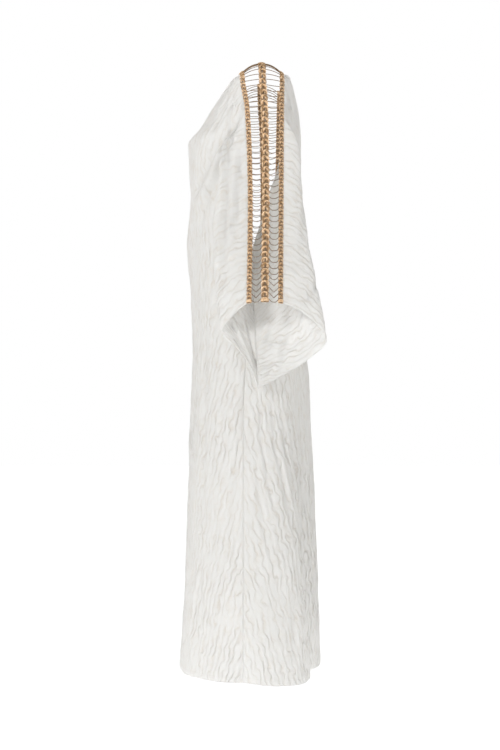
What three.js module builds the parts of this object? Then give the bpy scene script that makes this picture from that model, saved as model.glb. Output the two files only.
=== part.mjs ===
// A full-length crinkled kaftan, filled out as on a wearer, in millimetres.
// Front and back are each cut in one with their half of both sleeves. A ladder
// trim of three braids joined by thread rungs runs from the neck over each
// shoulder and down the outer arm, and holds the front and back together there.
// +Z is up, the front faces -Y, the wearer's left is +X. Heights are given as
// "down": millimetres below the shoulder line, where the origin lies.
import * as THREE from "three";

// The flat cut, measured across from the centre line of a panel.
const NECK_CUT = 120;
const UNDERARM_CUT = 270;
const CUFF_CUT = 720;
const HEM_CUT = 435;
const TRIM_SLOPE = THREE.MathUtils.degToRad(20);

// Ribs of the crinkled cloth: one high and one low column for each rib.
const RIB_PITCH = 15;
const RIB_HEIGHT = 1.5;
const COLUMN_STEP = RIB_PITCH / 2;
const CLOTH = 1.3;
const SEAM_GAP = 0.3;

// Main heights, down from the shoulder line.
const V_NECK_DOWN = 190;
const BACK_NECK_DOWN = 25;
const CROTCH_DOWN = 465;
const HEM_DOWN = 1445;

// The trim's path, seen from the front: shoulder slope, bend, then the hanging arm.
const SHOULDER_SLOPE = THREE.MathUtils.degToRad(17);
const ARM_SLOPE = THREE.MathUtils.degToRad(79.5);
const SHOULDER_DROP = 7;
const SHOULDER_RUN = 50;
const BEND_RADIUS = 42;

// The ladder trim.
const TRIM_THICKNESS = 2.4;
const EDGE_BRAID = 13;
const CENTRE_BRAID = 19;
const RUNG_PITCH = 13.5;
const RUNG_WIDTH = 1.8;
const RUNG_END_MARGIN = 8;
const SAG_START = 190;
const SAG_FULL = 380;
const RUNG_SAG = 9;

const FRONT = -1;
const BACK = 1;

// Columns of cloth, counted from the centre line.
const NECK_COLUMN = Math.round(NECK_CUT / COLUMN_STEP);
const UNDERARM_COLUMN = Math.round(UNDERARM_CUT / COLUMN_STEP);
const CUFF_COLUMN = Math.round(CUFF_CUT / COLUMN_STEP);
const HEM_COLUMN = Math.round(HEM_CUT / COLUMN_STEP);

// Outline of the worn body, from its side view: the cloth at the centre line.
const FRONT_CENTRE = [
  { down: 15, y: -25 },
  { down: 38, y: -39 },
  { down: 77, y: -68 },
  { down: 116, y: -97 },
  { down: 155, y: -125 },
  { down: 190, y: -152 },
  { down: 245, y: -149 },
  { down: 310, y: -145 },
  { down: 410, y: -154 },
  { down: 550, y: -147 },
  { down: 700, y: -141 },
  { down: 950, y: -149 },
  { down: 1170, y: -155 },
  { down: 1330, y: -162 },
  { down: 1470, y: -173 },
];
const BACK_CENTRE = [
  { down: 15, y: 96 },
  { down: 38, y: 103 },
  { down: 77, y: 112 },
  { down: 116, y: 119 },
  { down: 174, y: 124 },
  { down: 250, y: 122 },
  { down: 400, y: 118 },
  { down: 550, y: 125 },
  { down: 730, y: 141 },
  { down: 1000, y: 156 },
  { down: 1250, y: 165 },
  { down: 1470, y: 173 },
];
// The side seam, where front and back meet below the crotch of the sleeve.
const SIDE_SEAM = [
  { down: 465, x: 187, y: 3 },
  { down: 510, x: 189, y: 0.7 },
  { down: 600, x: 201, y: -3.8 },
  { down: 825, x: 239, y: -15 },
  { down: 1140, x: 287, y: -15 },
  { down: 1470, x: 335, y: -15 },
];
// The hem's height by the share of the way from the centre line to the side seam.
const FRONT_HEM = [
  { share: 0, down: 1468 },
  { share: 0.4, down: 1457 },
  { share: 0.75, down: 1448 },
  { share: 1, down: HEM_DOWN },
];
const BACK_HEM = [
  { share: 0, down: 1455 },
  { share: 0.35, down: 1459 },
  { share: 0.6, down: 1464 },
  { share: 0.8, down: 1458 },
  { share: 1, down: HEM_DOWN },
];
// The armpit folds, where the cloth turns from the body into the sleeve.
const FRONT_ARMPIT = [
  { down: 117, x: 188, y: -13 },
  { down: 150, x: 188, y: -24 },
  { down: 190, x: 188, y: -32 },
  { down: 260, x: 188, y: -33 },
  { down: 330, x: 188, y: -27 },
  { down: 400, x: 188, y: -13 },
  { down: 465, x: 188, y: 3 },
];
const BACK_ARMPIT = [
  { down: 117, x: 188, y: 79 },
  { down: 150, x: 188, y: 79 },
  { down: 190, x: 188, y: 76 },
  { down: 260, x: 188, y: 66 },
  { down: 330, x: 188, y: 45 },
  { down: 400, x: 188, y: 24 },
  { down: 465, x: 188, y: 3 },
];
// Guide lines round each half of a sleeve. A row is a place along the sleeve,
// from the armpit fold, 0, to the cuff, 1.
const FRONT_SLEEVE = {
  outer: [
    { along: 0, x: 188, y: -24, down: 150 },
    { along: 0.12, x: 202, y: -39, down: 190 },
    { along: 0.35, x: 221, y: -46, down: 300 },
    { along: 0.65, x: 247, y: -51, down: 445 },
    { along: 0.85, x: 262, y: -47, down: 545 },
    { along: 1, x: 271, y: -39, down: 618 },
  ],
  edge: [
    { along: 0, x: 188, y: -32, down: 190 },
    { along: 0.12, x: 200, y: -59, down: 210 },
    { along: 0.35, x: 213, y: -74, down: 325 },
    { along: 0.65, x: 236, y: -82, down: 480 },
    { along: 0.85, x: 250, y: -78, down: 585 },
    { along: 1, x: 258, y: -65, down: 655 },
  ],
  inner: [
    { along: 0, x: 188, y: -33, down: 260 },
    { along: 0.12, x: 194, y: -52, down: 280 },
    { along: 0.35, x: 201, y: -58, down: 400 },
    { along: 0.65, x: 221, y: -60, down: 550 },
    { along: 0.85, x: 238, y: -46, down: 640 },
    { along: 1, x: 247, y: -28, down: 694 },
  ],
  low: [
    { along: 0, x: 188, y: -17, down: 380 },
    { along: 0.12, x: 194, y: -22, down: 400 },
    { along: 0.35, x: 205, y: -24, down: 495 },
    { along: 0.65, x: 222, y: -20, down: 615 },
    { along: 0.85, x: 237, y: -8, down: 692 },
    { along: 1, x: 247, y: 2, down: 738 },
  ],
};
const BACK_SLEEVE = {
  outer: [
    { along: 0, x: 188, y: 79, down: 150 },
    { along: 0.12, x: 204, y: 96, down: 185 },
    { along: 0.35, x: 223, y: 102, down: 296 },
    { along: 0.65, x: 248, y: 110, down: 441 },
    { along: 0.85, x: 263, y: 119, down: 540 },
    { along: 1, x: 273, y: 113, down: 606 },
  ],
  edge: [
    { along: 0, x: 188, y: 76, down: 190 },
    { along: 0.12, x: 204, y: 110, down: 210 },
    { along: 0.35, x: 217, y: 122, down: 325 },
    { along: 0.65, x: 240, y: 138, down: 475 },
    { along: 0.85, x: 253, y: 161, down: 585 },
    { along: 1, x: 260, y: 177, down: 672 },
  ],
  inner: [
    { along: 0, x: 188, y: 66, down: 260 },
    { along: 0.12, x: 197, y: 98, down: 275 },
    { along: 0.35, x: 204, y: 106, down: 400 },
    { along: 0.65, x: 223, y: 112, down: 555 },
    { along: 0.85, x: 240, y: 124, down: 655 },
    { along: 1, x: 250, y: 137, down: 716 },
  ],
  low: [
    { along: 0, x: 188, y: 30, down: 380 },
    { along: 0.12, x: 195, y: 48, down: 390 },
    { along: 0.35, x: 206, y: 54, down: 495 },
    { along: 0.65, x: 223, y: 62, down: 620 },
    { along: 0.85, x: 239, y: 66, down: 706 },
    { along: 1, x: 248, y: 74, down: 756 },
  ],
};
// The underarm seam, from the crotch of the sleeve to the low point of the cuff.
const UNDERARM_SEAM = [
  { along: 0, x: 188, y: 3, down: 465 },
  { along: 0.12, x: 197, y: 4.9, down: 505 },
  { along: 0.35, x: 209, y: 8.5, down: 580 },
  { along: 0.65, x: 226, y: 13.1, down: 675 },
  { along: 0.85, x: 239, y: 16.3, down: 742 },
  { along: 1, x: 248, y: 18.6, down: 784 },
];
// The trim's front and back edges by distance along it from the neck.
const TRIM_EDGES = [
  { run: 0, front: -26, back: 81, crown: 28 },
  { run: 95, front: -22.5, back: 80.5, crown: 24 },
  { run: 170, front: -12, back: 79.5, crown: 17 },
  { run: 300, front: -6, back: 78, crown: 16 },
  { run: 400, front: -4.6, back: 77, crown: 16 },
  { run: 640, front: -7.7, back: 75, crown: 16 },
];
const TRIM_STATIONS = [0, 24, 46, 60, 74, 88, 103, 130, 170, 220, 280, 350, 430, 530];

// The largest folds of the body. "from" and "to" are the places across the
// section, 0 at the centre line and 1 at the side, where a fold starts and ends.
const FOLDS = {
  [FRONT]: [
    { side: 1, from: 0.4, to: 0.3, width: 0.09, depth: -9, top: 560, bottom: 1120 },
    { side: -1, from: 0.36, to: 0.3, width: 0.09, depth: -8, top: 600, bottom: 1200 },
    { side: 1, from: 0.6, to: 0.5, width: 0.12, depth: 5, top: 700, bottom: 1500 },
    { side: -1, from: 0.64, to: 0.5, width: 0.12, depth: 6, top: 760, bottom: 1500 },
    { side: 1, from: 0.55, to: 0.2, width: 0.12, depth: 4, top: 170, bottom: 460 },
    { side: -1, from: 0.55, to: 0.2, width: 0.12, depth: 4, top: 170, bottom: 460 },
  ],
  [BACK]: [
    { side: 1, from: 0.5, to: 0.33, width: 0.08, depth: -22, top: 640, bottom: 1600 },
    { side: -1, from: 0.46, to: 0.34, width: 0.08, depth: -19, top: 680, bottom: 1600 },
    { side: 1, from: 0.72, to: 0.62, width: 0.1, depth: 7, top: 760, bottom: 1600 },
    { side: -1, from: 0.7, to: 0.64, width: 0.1, depth: 7, top: 720, bottom: 1600 },
    { side: 1, from: 0.8, to: 0.55, width: 0.09, depth: -7, top: 60, bottom: 420 },
    { side: -1, from: 0.8, to: 0.55, width: 0.09, depth: -7, top: 60, bottom: 420 },
  ],
};

// How square the body's section is: 2 is an ellipse, less is flatter.
const SECTION_POWER = [
  { down: 15, power: 1.55 },
  { down: 120, power: 1.7 },
  { down: 220, power: 2.2 },
  { down: 700, power: 2.3 },
  { down: 1470, power: 2.15 },
];
const SECTION_STEPS = 40;

// Heights of the mesh's cross rows.
const CHEST_ROWS = [30, 62, 94, 126, 158, 190, 245, 300, 355, 410, CROTCH_DOWN];
const SKIRT_ROWS = [575, 690, 825, 980, 1140, 1300];
const LEAST_ROW = 14;
// Steps of the mesh round a half sleeve, between one guide line and the next.
const SLEEVE_STEPS = [1, 2, 2, 2, 1];
const INNER_COLUMN_STEP = 4;
// Ribs fade out this near to the crotch of the sleeve, where four walls meet.
const CROTCH_PLAIN = 16;
const CROTCH_FADE = 70;

// Slope at each row of a table so that the curve through it never overshoots.
function gentleSlopes(xs, ys) {
  const chords = xs.slice(1).map((x, k) => (ys[k + 1] - ys[k]) / (x - xs[k]));
  const slopes = xs.map((_, k) => {
    if (k === 0) return chords[0];
    if (k === xs.length - 1) return chords[k - 1];
    const [before, after] = [chords[k - 1], chords[k]];
    return before * after <= 0 ? 0 : (2 * before * after) / (before + after);
  });
  return slopes;
}

// A smooth curve through one named column of a table.
function curve(rows, along, column) {
  const xs = rows.map((row) => row[along]);
  const ys = rows.map((row) => row[column]);
  const slopes = gentleSlopes(xs, ys);
  return (x) => {
    const at = THREE.MathUtils.clamp(x, xs[0], xs.at(-1));
    let k = 0;
    while (k < xs.length - 2 && at > xs[k + 1]) k += 1;
    const step = xs[k + 1] - xs[k];
    const t = (at - xs[k]) / step;
    const [t2, t3] = [t * t, t * t * t];
    return (
      ys[k] * (2 * t3 - 3 * t2 + 1) +
      slopes[k] * step * (t3 - 2 * t2 + t) +
      ys[k + 1] * (3 * t2 - 2 * t3) +
      slopes[k + 1] * step * (t3 - t2)
    );
  };
}

// A straight-line curve, for a seam that two pieces must share exactly.
function straight(rows, along, column) {
  return (x) => {
    const at = THREE.MathUtils.clamp(x, rows[0][along], rows.at(-1)[along]);
    let k = 0;
    while (k < rows.length - 2 && at > rows[k + 1][along]) k += 1;
    const [low, high] = [rows[k], rows[k + 1]];
    const t = (at - low[along]) / (high[along] - low[along]);
    return THREE.MathUtils.lerp(low[column], high[column], t);
  };
}

const centreLine = {
  [FRONT]: curve(FRONT_CENTRE, "down", "y"),
  [BACK]: curve(BACK_CENTRE, "down", "y"),
};
const sideSeamX = curve(SIDE_SEAM, "down", "x");
const sideSeamY = straight(SIDE_SEAM, "down", "y");
const armpit = {
  [FRONT]: { x: curve(FRONT_ARMPIT, "down", "x"), y: curve(FRONT_ARMPIT, "down", "y") },
  [BACK]: { x: curve(BACK_ARMPIT, "down", "x"), y: curve(BACK_ARMPIT, "down", "y") },
};
const hemLine = {
  [FRONT]: curve(FRONT_HEM, "share", "down"),
  [BACK]: curve(BACK_HEM, "share", "down"),
};
const sectionPower = curve(SECTION_POWER, "down", "power");
const trimEdge = {
  [FRONT]: curve(TRIM_EDGES, "run", "front"),
  [BACK]: curve(TRIM_EDGES, "run", "back"),
};
const trimCrown = curve(TRIM_EDGES, "run", "crown");

function guideCurves(rows) {
  const [x, y, down] = ["x", "y", "down"].map((name) => curve(rows, "along", name));
  return (along) => new THREE.Vector3(x(along), y(along), -down(along));
}

const sleeveGuides = {
  [FRONT]: Object.values(FRONT_SLEEVE).map(guideCurves),
  [BACK]: Object.values(BACK_SLEEVE).map(guideCurves),
};
const underarmSeam = guideCurves(UNDERARM_SEAM);

// Distance along the trim from the neck to the top of a column of cloth.
const runOf = (cut) => (cut - NECK_CUT) / Math.cos(TRIM_SLOPE);
const TRIM_LENGTH = runOf(CUFF_CUT);

// The trim's middle line, seen from the front, with its slope at that place.
function trimPath(run) {
  const bend = BEND_RADIUS * (ARM_SLOPE - SHOULDER_SLOPE);
  const onSlope = Math.min(run, SHOULDER_RUN);
  const onBend = THREE.MathUtils.clamp(run - SHOULDER_RUN, 0, bend);
  const onArm = Math.max(run - SHOULDER_RUN - bend, 0);
  const slope = SHOULDER_SLOPE + onBend / BEND_RADIUS;
  const x =
    NECK_CUT +
    onSlope * Math.cos(SHOULDER_SLOPE) +
    BEND_RADIUS * (Math.sin(slope) - Math.sin(SHOULDER_SLOPE)) +
    onArm * Math.cos(ARM_SLOPE);
  const down =
    SHOULDER_DROP +
    onSlope * Math.sin(SHOULDER_SLOPE) +
    BEND_RADIUS * (Math.cos(SHOULDER_SLOPE) - Math.cos(slope)) +
    onArm * Math.sin(ARM_SLOPE);
  return { x, z: -down, slope };
}

// A point on the trim's crowned surface with its normal and its direction across.
// "across" is -1 at the front edge and 1 at the back edge.
function trimPoint(run, across) {
  const { x, z, slope } = trimPath(run);
  const [front, back, crown] = [trimEdge[FRONT](run), trimEdge[BACK](run), trimCrown(run)];
  const half = (back - front) / 2;
  const up = new THREE.Vector3(Math.sin(slope), 0, Math.cos(slope));
  const sideways = new THREE.Vector3(0, half, 0).addScaledVector(up, -2 * crown * across).normalize();
  const along = new THREE.Vector3(Math.cos(slope), 0, -Math.sin(slope));
  const point = new THREE.Vector3(x, (front + back) / 2 + half * across, z);
  point.addScaledVector(up, -crown * across * across);
  const normal = new THREE.Vector3().crossVectors(along, sideways).normalize();
  return { point, normal, sideways, along, half };
}

// The trim's two long edges run straight between these stations, and the cloth
// that is sewn to them takes the same line.
const edgeRuns = [...TRIM_STATIONS, TRIM_LENGTH];
const edgeStations = {
  [FRONT]: edgeRuns.map((run) => trimPoint(run, FRONT)),
  [BACK]: edgeRuns.map((run) => trimPoint(run, BACK)),
};

function edgePoint(face, run) {
  let k = 0;
  while (k < edgeRuns.length - 2 && run > edgeRuns[k + 1]) k += 1;
  const t = (run - edgeRuns[k]) / (edgeRuns[k + 1] - edgeRuns[k]);
  const [low, high] = [edgeStations[face][k], edgeStations[face][k + 1]];
  const point = low.point.clone().lerp(high.point, t);
  const normal = low.normal.clone().lerp(high.normal, t).normalize();
  const sideways = low.sideways.clone().lerp(high.sideways, t).normalize();
  return { point: point.addScaledVector(sideways, face * SEAM_GAP), normal };
}

// Distance along the trim at which its edge lies at a given height.
function runAtHeight(face, down) {
  let [low, high] = [0, TRIM_LENGTH];
  for (let pass = 0; pass < 40; pass += 1) {
    const middle = (low + high) / 2;
    if (-edgePoint(face, middle).point.z < down) low = middle;
    else high = middle;
  }
  return (low + high) / 2;
}

const neckEdge = { [FRONT]: edgePoint(FRONT, 0).point, [BACK]: edgePoint(BACK, 0).point };
const armpitTop = {
  [FRONT]: -edgePoint(FRONT, runOf(UNDERARM_CUT)).point.z,
  [BACK]: -edgePoint(BACK, runOf(UNDERARM_CUT)).point.z,
};

// The flat half width of a panel at a height below the crotch.
function sideCut(down) {
  const t = (down - CROTCH_DOWN) / (HEM_DOWN - CROTCH_DOWN);
  return THREE.MathUtils.lerp(UNDERARM_CUT, HEM_CUT, t);
}
const sideDown = (cut) =>
  THREE.MathUtils.mapLinear(cut, UNDERARM_CUT, HEM_CUT, CROTCH_DOWN, HEM_DOWN);

// Where a level section of the body starts, at the neckline or the centre line.
function sectionStart(face, down) {
  const y = centreLine[face](down);
  if (face === BACK || down >= V_NECK_DOWN) return { x: 0, y, cut: 0 };
  const top = -neckEdge[FRONT].z;
  const t = THREE.MathUtils.clamp((down - top) / (V_NECK_DOWN - top), 0, 1);
  const edge = THREE.MathUtils.lerp(neckEdge[FRONT].y, y, Math.min(1, t * 12));
  return { x: neckEdge[FRONT].x * (1 - t), y: edge, cut: NECK_CUT * (1 - t) };
}

// Where it ends: at the trim, in the armpit fold or at the side seam.
function sectionEnd(face, down) {
  if (down < armpitTop[face]) {
    const run = runAtHeight(face, down);
    const { point } = edgePoint(face, run);
    return { x: point.x, y: point.y, cut: NECK_CUT + run * Math.cos(TRIM_SLOPE) };
  }
  if (down < CROTCH_DOWN) {
    return { x: armpit[face].x(down), y: armpit[face].y(down), cut: UNDERARM_CUT };
  }
  const y = sideSeamY(down) + (face * SEAM_GAP) / 2;
  return { x: sideSeamX(down), y, cut: sideCut(down) };
}

// How far the folds push the cloth out at a place on a section.
function foldDepth(face, side, share, down) {
  return FOLDS[face].reduce((sum, fold) => {
    if (fold.side !== side || down < fold.top || down > fold.bottom) return sum;
    const t = (down - fold.top) / (fold.bottom - fold.top);
    const place = THREE.MathUtils.lerp(fold.from, fold.to, t);
    const rise = THREE.MathUtils.smoothstep(t, 0, 0.45);
    const fall = fold.bottom > HEM_DOWN ? 1 : 1 - THREE.MathUtils.smoothstep(t, 0.6, 1);
    return sum + fold.depth * rise * fall * Math.exp(-(((share - place) / fold.width) ** 2));
  }, 0);
}

const sections = new Map();

// A level section of half a body, as points at even steps of angle.
function section(face, down) {
  const key = `${face}_${down}`;
  if (sections.has(key)) return sections.get(key);
  const [start, end] = [sectionStart(face, down), sectionEnd(face, down)];
  const bend = 2 / sectionPower(down);
  const points = Array.from({ length: SECTION_STEPS + 1 }, (_, k) => {
    const angle = (Math.PI / 2) * (k / SECTION_STEPS);
    const x = start.x + (end.x - start.x) * Math.sin(angle) ** bend;
    const y = end.y + (start.y - end.y) * Math.cos(angle) ** bend;
    return new THREE.Vector2(x, y);
  });
  points[SECTION_STEPS].set(end.x, end.y);
  const lengths = [0];
  points.slice(1).forEach((point, k) => lengths.push(lengths[k] + point.distanceTo(points[k])));
  const made = { start, end, points, lengths };
  sections.set(key, made);
  return made;
}

// A point of the body's cloth on the column at "cut" from the centre line.
function bodyPoint(face, side, cut, down) {
  const { start, end, points, lengths } = section(face, down);
  const share = end.cut === start.cut ? 1 : (cut - start.cut) / (end.cut - start.cut);
  const length = THREE.MathUtils.clamp(share, 0, 1) * lengths[SECTION_STEPS];
  let k = 0;
  while (k < SECTION_STEPS - 1 && length > lengths[k + 1]) k += 1;
  const t = (length - lengths[k]) / Math.max(lengths[k + 1] - lengths[k], 1e-9);
  const place = points[k].clone().lerp(points[k + 1], t);
  const step = points[k + 1].clone().sub(points[k]).normalize();
  const depth = foldDepth(face, side, share, down);
  place.x += -face * step.y * depth;
  place.y += face * step.x * depth;
  return new THREE.Vector3(place.x, place.y, -down);
}

// The height at which a column starts, at the neckline or the trim.
function topDown(face, cut) {
  if (cut >= NECK_CUT) return -edgePoint(face, runOf(cut)).point.z;
  const share = cut / NECK_CUT;
  if (face === FRONT) {
    return THREE.MathUtils.lerp(V_NECK_DOWN, -neckEdge[FRONT].z, share);
  }
  return THREE.MathUtils.lerp(BACK_NECK_DOWN, -neckEdge[BACK].z, share * share);
}

const hemDown = (face, cut) => hemLine[face](cut / HEM_CUT);

// Outward direction of a seam, seen from the front, from its neighbours in height.
function seamNormal(before, after, outward) {
  const normal = new THREE.Vector3(-(after.z - before.z), 0, after.x - before.x).normalize();
  return normal.x * outward < 0 ? normal.negate() : normal;
}

const sideSeamPoint = (down) => new THREE.Vector3(sideSeamX(down), sideSeamY(down), -down);

// One panel, front or back, as columns of points. A point may carry the normal
// of the seam that it lies on.
class Panel {
  constructor(face) {
    this.face = face;
    this.points = [];
    this.normals = [];
    this.columns = [];
    this.triangles = [];
    this.inner = [];
    for (const side of [1, -1]) {
      this.addHalf(side);
    }
  }

  add(point, normal, side, column) {
    const flip = new THREE.Vector3(side, 1, 1);
    this.points.push(point.clone().multiply(flip));
    this.normals.push(normal ? normal.clone().multiply(flip) : null);
    this.columns.push(column);
    return this.points.length - 1;
  }

  // Rows of a body column from its top to the hem.
  bodyColumn(column, side) {
    const cut = column * COLUMN_STEP;
    const { face } = this;
    const gore = column > UNDERARM_COLUMN;
    const top = gore ? sideDown(cut) : topDown(face, cut);
    const bottom = Math.max(hemDown(face, cut), top);
    const rows = [...CHEST_ROWS, ...SKIRT_ROWS].filter(
      (down) => down > top + LEAST_ROW && down < bottom - LEAST_ROW,
    );
    const heights = column === HEM_COLUMN ? [top] : [top, ...rows, bottom];
    return heights.map((down, k) => {
      if (k > 0) {
        if (column === UNDERARM_COLUMN && down === CROTCH_DOWN) return this.crotchPoint(side);
        return this.add(bodyPoint(face, side, cut, down), null, side, column);
      }
      if (gore) return this.sidePoint(cut, down, side, column);
      if (column < NECK_COLUMN) {
        return this.add(bodyPoint(face, side, cut, down), null, side, column);
      }
      const { point, normal } = edgePoint(face, runOf(cut));
      return this.add(point, normal, side, column);
    });
  }

  crotchPoint(side) {
    const point = underarmSeam(0);
    point.y += (this.face * SEAM_GAP) / 2;
    return this.add(point, new THREE.Vector3(0, 0, -1), side, UNDERARM_COLUMN);
  }

  sidePoint(cut, down, side, column) {
    const normal = seamNormal(sideSeamPoint(down - 1), sideSeamPoint(down + 1), 1);
    const point = sideSeamPoint(down);
    point.y += (this.face * SEAM_GAP) / 2;
    return this.add(point, normal, side, column);
  }

  // Points of a sleeve column from the trim round to the underarm seam.
  sleeveColumn(column, side) {
    const { face } = this;
    const cut = column * COLUMN_STEP;
    const along = (cut - UNDERARM_CUT) / (CUFF_CUT - UNDERARM_CUT);
    const top = edgePoint(face, runOf(cut));
    const seam = underarmSeam(along);
    const step = 0.01;
    const normal = seamNormal(
      underarmSeam(Math.max(along - step, 0)),
      underarmSeam(Math.min(along + step, 1)),
      -1,
    );
    seam.y += (face * SEAM_GAP) / 2;
    const guides = [top.point, ...sleeveGuides[face].map((guide) => guide(along)), seam];
    const line = new THREE.CatmullRomCurve3(guides, false, "centripetal");
    const made = [this.add(top.point, top.normal, side, column)];
    SLEEVE_STEPS.forEach((steps, k) => {
      for (let step = 1; step <= steps; step += 1) {
        const last = k === SLEEVE_STEPS.length - 1 && step === steps;
        const t = (k + step / steps) / (guides.length - 1);
        const point = last ? seam : line.getPoint(t);
        made.push(this.add(point, last ? normal : null, side, column));
      }
    });
    return made;
  }

  addHalf(side) {
    const first = side === 1 ? 0 : 1;
    const body = side === 1 ? [] : [this.centre];
    for (let column = first; column <= HEM_COLUMN; column += 1) {
      body.push(this.bodyColumn(column, side));
    }
    if (side === 1) [this.centre] = body;
    const sleeves = [];
    for (let column = UNDERARM_COLUMN + 1; column <= CUFF_COLUMN; column += 1) {
      sleeves.push(this.sleeveColumn(column, side));
    }
    const fold = body[UNDERARM_COLUMN];
    const crotch = fold.find((index) => this.points[index].z === -CROTCH_DOWN);
    const split = fold.indexOf(crotch);
    const [upper, lower] = [fold.slice(0, split + 1), fold.slice(split)];
    const fine = [
      ...this.strips(body.slice(0, UNDERARM_COLUMN + 1), side),
      ...this.strips([upper, ...sleeves], side),
      ...this.strips([lower, ...body.slice(UNDERARM_COLUMN + 1)], side),
    ];
    this.triangles.push(...fine);
    const near = (index) => Math.abs(index) <= 1;
    const coarse = (list, offset) =>
      list.filter(
        (_, k) =>
          (k + offset) % INNER_COLUMN_STEP === 0 ||
          near(k + offset - UNDERARM_COLUMN) ||
          k === list.length - 1,
      );
    this.inner.push(
      ...this.strips(coarse(body.slice(0, UNDERARM_COLUMN + 1), 0), side),
      ...this.strips(coarse([upper, ...sleeves], UNDERARM_COLUMN), side),
      ...this.strips(coarse([lower, ...body.slice(UNDERARM_COLUMN + 1)], UNDERARM_COLUMN), side),
    );
  }

  // Triangles between each column and the next.
  strips(columns, side) {
    const turned = side * this.face < 0;
    return columns.slice(1).flatMap((right, k) => this.zip(columns[k], right, turned));
  }

  shares(column) {
    const lengths = [0];
    column.slice(1).forEach((index, k) => {
      lengths.push(lengths[k] + this.points[index].distanceTo(this.points[column[k]]));
    });
    return lengths.map((length) => length / Math.max(lengths.at(-1), 1e-9));
  }

  zip(left, right, turned) {
    const [a, b] = [this.shares(left), this.shares(right)];
    const made = [];
    let [i, j] = [0, 0];
    while (i < left.length - 1 || j < right.length - 1) {
      const stepLeft =
        j === right.length - 1 || (i < left.length - 1 && a[i] + a[i + 1] < b[j] + b[j + 1]);
      const third = stepLeft ? left[i + 1] : right[j + 1];
      made.push(turned ? [left[i], third, right[j]] : [left[i], right[j], third]);
      if (stepLeft) i += 1;
      else j += 1;
    }
    return made;
  }
}

// The open edge of a set of triangles, in order.
function rimOf(triangles) {
  const edges = new Map();
  const count = new Set();
  triangles.forEach(([a, b, c]) => {
    [[a, b], [b, c], [c, a]].forEach(([from, to]) => count.add(`${from}_${to}`));
  });
  triangles.forEach(([a, b, c]) => {
    [[a, b], [b, c], [c, a]].forEach(([from, to]) => {
      if (!count.has(`${to}_${from}`)) edges.set(from, to);
    });
  });
  const start = edges.keys().next().value;
  const rim = [start];
  while (edges.get(rim.at(-1)) !== start) rim.push(edges.get(rim.at(-1)));
  return rim;
}

// Normal of each point, and how much further it must be offset in a tight fold.
function pointNormals(panel) {
  const sums = panel.points.map(() => new THREE.Vector3());
  const facets = panel.triangles.map((triangle) => {
    const [a, b, c] = triangle.map((index) => panel.points[index]);
    return new THREE.Vector3().crossVectors(b.clone().sub(a), c.clone().sub(a));
  });
  panel.triangles.forEach((triangle, k) => {
    triangle.forEach((index) => sums[index].add(facets[k]));
  });
  const normals = sums.map((sum, k) => panel.normals[k] ?? sum.normalize());
  const spread = panel.points.map(() => 1);
  panel.triangles.forEach((triangle, k) => {
    const unit = facets[k].clone().normalize();
    triangle.forEach((index) => {
      spread[index] = Math.min(spread[index], unit.dot(normals[index]));
    });
  });
  return { normals, reach: spread.map((dot) => 1 / Math.max(dot, 0.5)) };
}

// The closed wall of a panel: ribs on its outside, a plain inside.
function wall(panel) {
  const { normals, reach } = pointNormals(panel);
  const crotch = underarmSeam(0);
  const outside = panel.points.map((point, k) => {
    const apart = Math.hypot(
      Math.abs(point.x) - crotch.x,
      point.y - crotch.y,
      point.z - crotch.z,
    );
    const fade = THREE.MathUtils.smoothstep(apart, CROTCH_PLAIN, CROTCH_FADE);
    const fold = Math.abs(panel.columns[k] - UNDERARM_COLUMN) <= 1 && -point.z < CROTCH_DOWN;
    const rib = panel.columns[k] % 2 === 1 && !fold ? RIB_HEIGHT * fade : 0;
    return point.clone().addScaledVector(normals[k], rib);
  });
  const inside = panel.points.map((point, k) => {
    const offset = panel.normals[k] ? CLOTH : CLOTH * reach[k];
    return point.clone().addScaledVector(normals[k], -offset);
  });
  const count = panel.points.length;
  const faces = [...panel.triangles];
  panel.inner.forEach(([a, b, c]) => faces.push([a + count, c + count, b + count]));
  const outerRim = rimOf(panel.triangles);
  const innerRim = new Set(rimOf(panel.inner));
  const startAt = outerRim.findIndex((index) => innerRim.has(index));
  const rim = [...outerRim.slice(startAt), ...outerRim.slice(0, startAt), outerRim[startAt]];
  let current = rim[0];
  rim.slice(1).forEach((next, k) => {
    faces.push([next, rim[k], current + count]);
    if (innerRim.has(next)) {
      faces.push([current + count, next + count, next]);
      current = next;
    }
  });
  return solid([...outside, ...inside], faces);
}

function solid(points, faces) {
  const positions = new Float32Array(faces.flat().flatMap((index) => points[index].toArray()));
  const geometry = new THREE.BufferGeometry();
  geometry.setAttribute("position", new THREE.BufferAttribute(positions, 3));
  geometry.computeVertexNormals();
  return geometry;
}

// How far a rung hangs below its ends, by its place along the trim.
const rungSag = (run) => RUNG_SAG * THREE.MathUtils.smoothstep(run, SAG_START, SAG_FULL);

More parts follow.
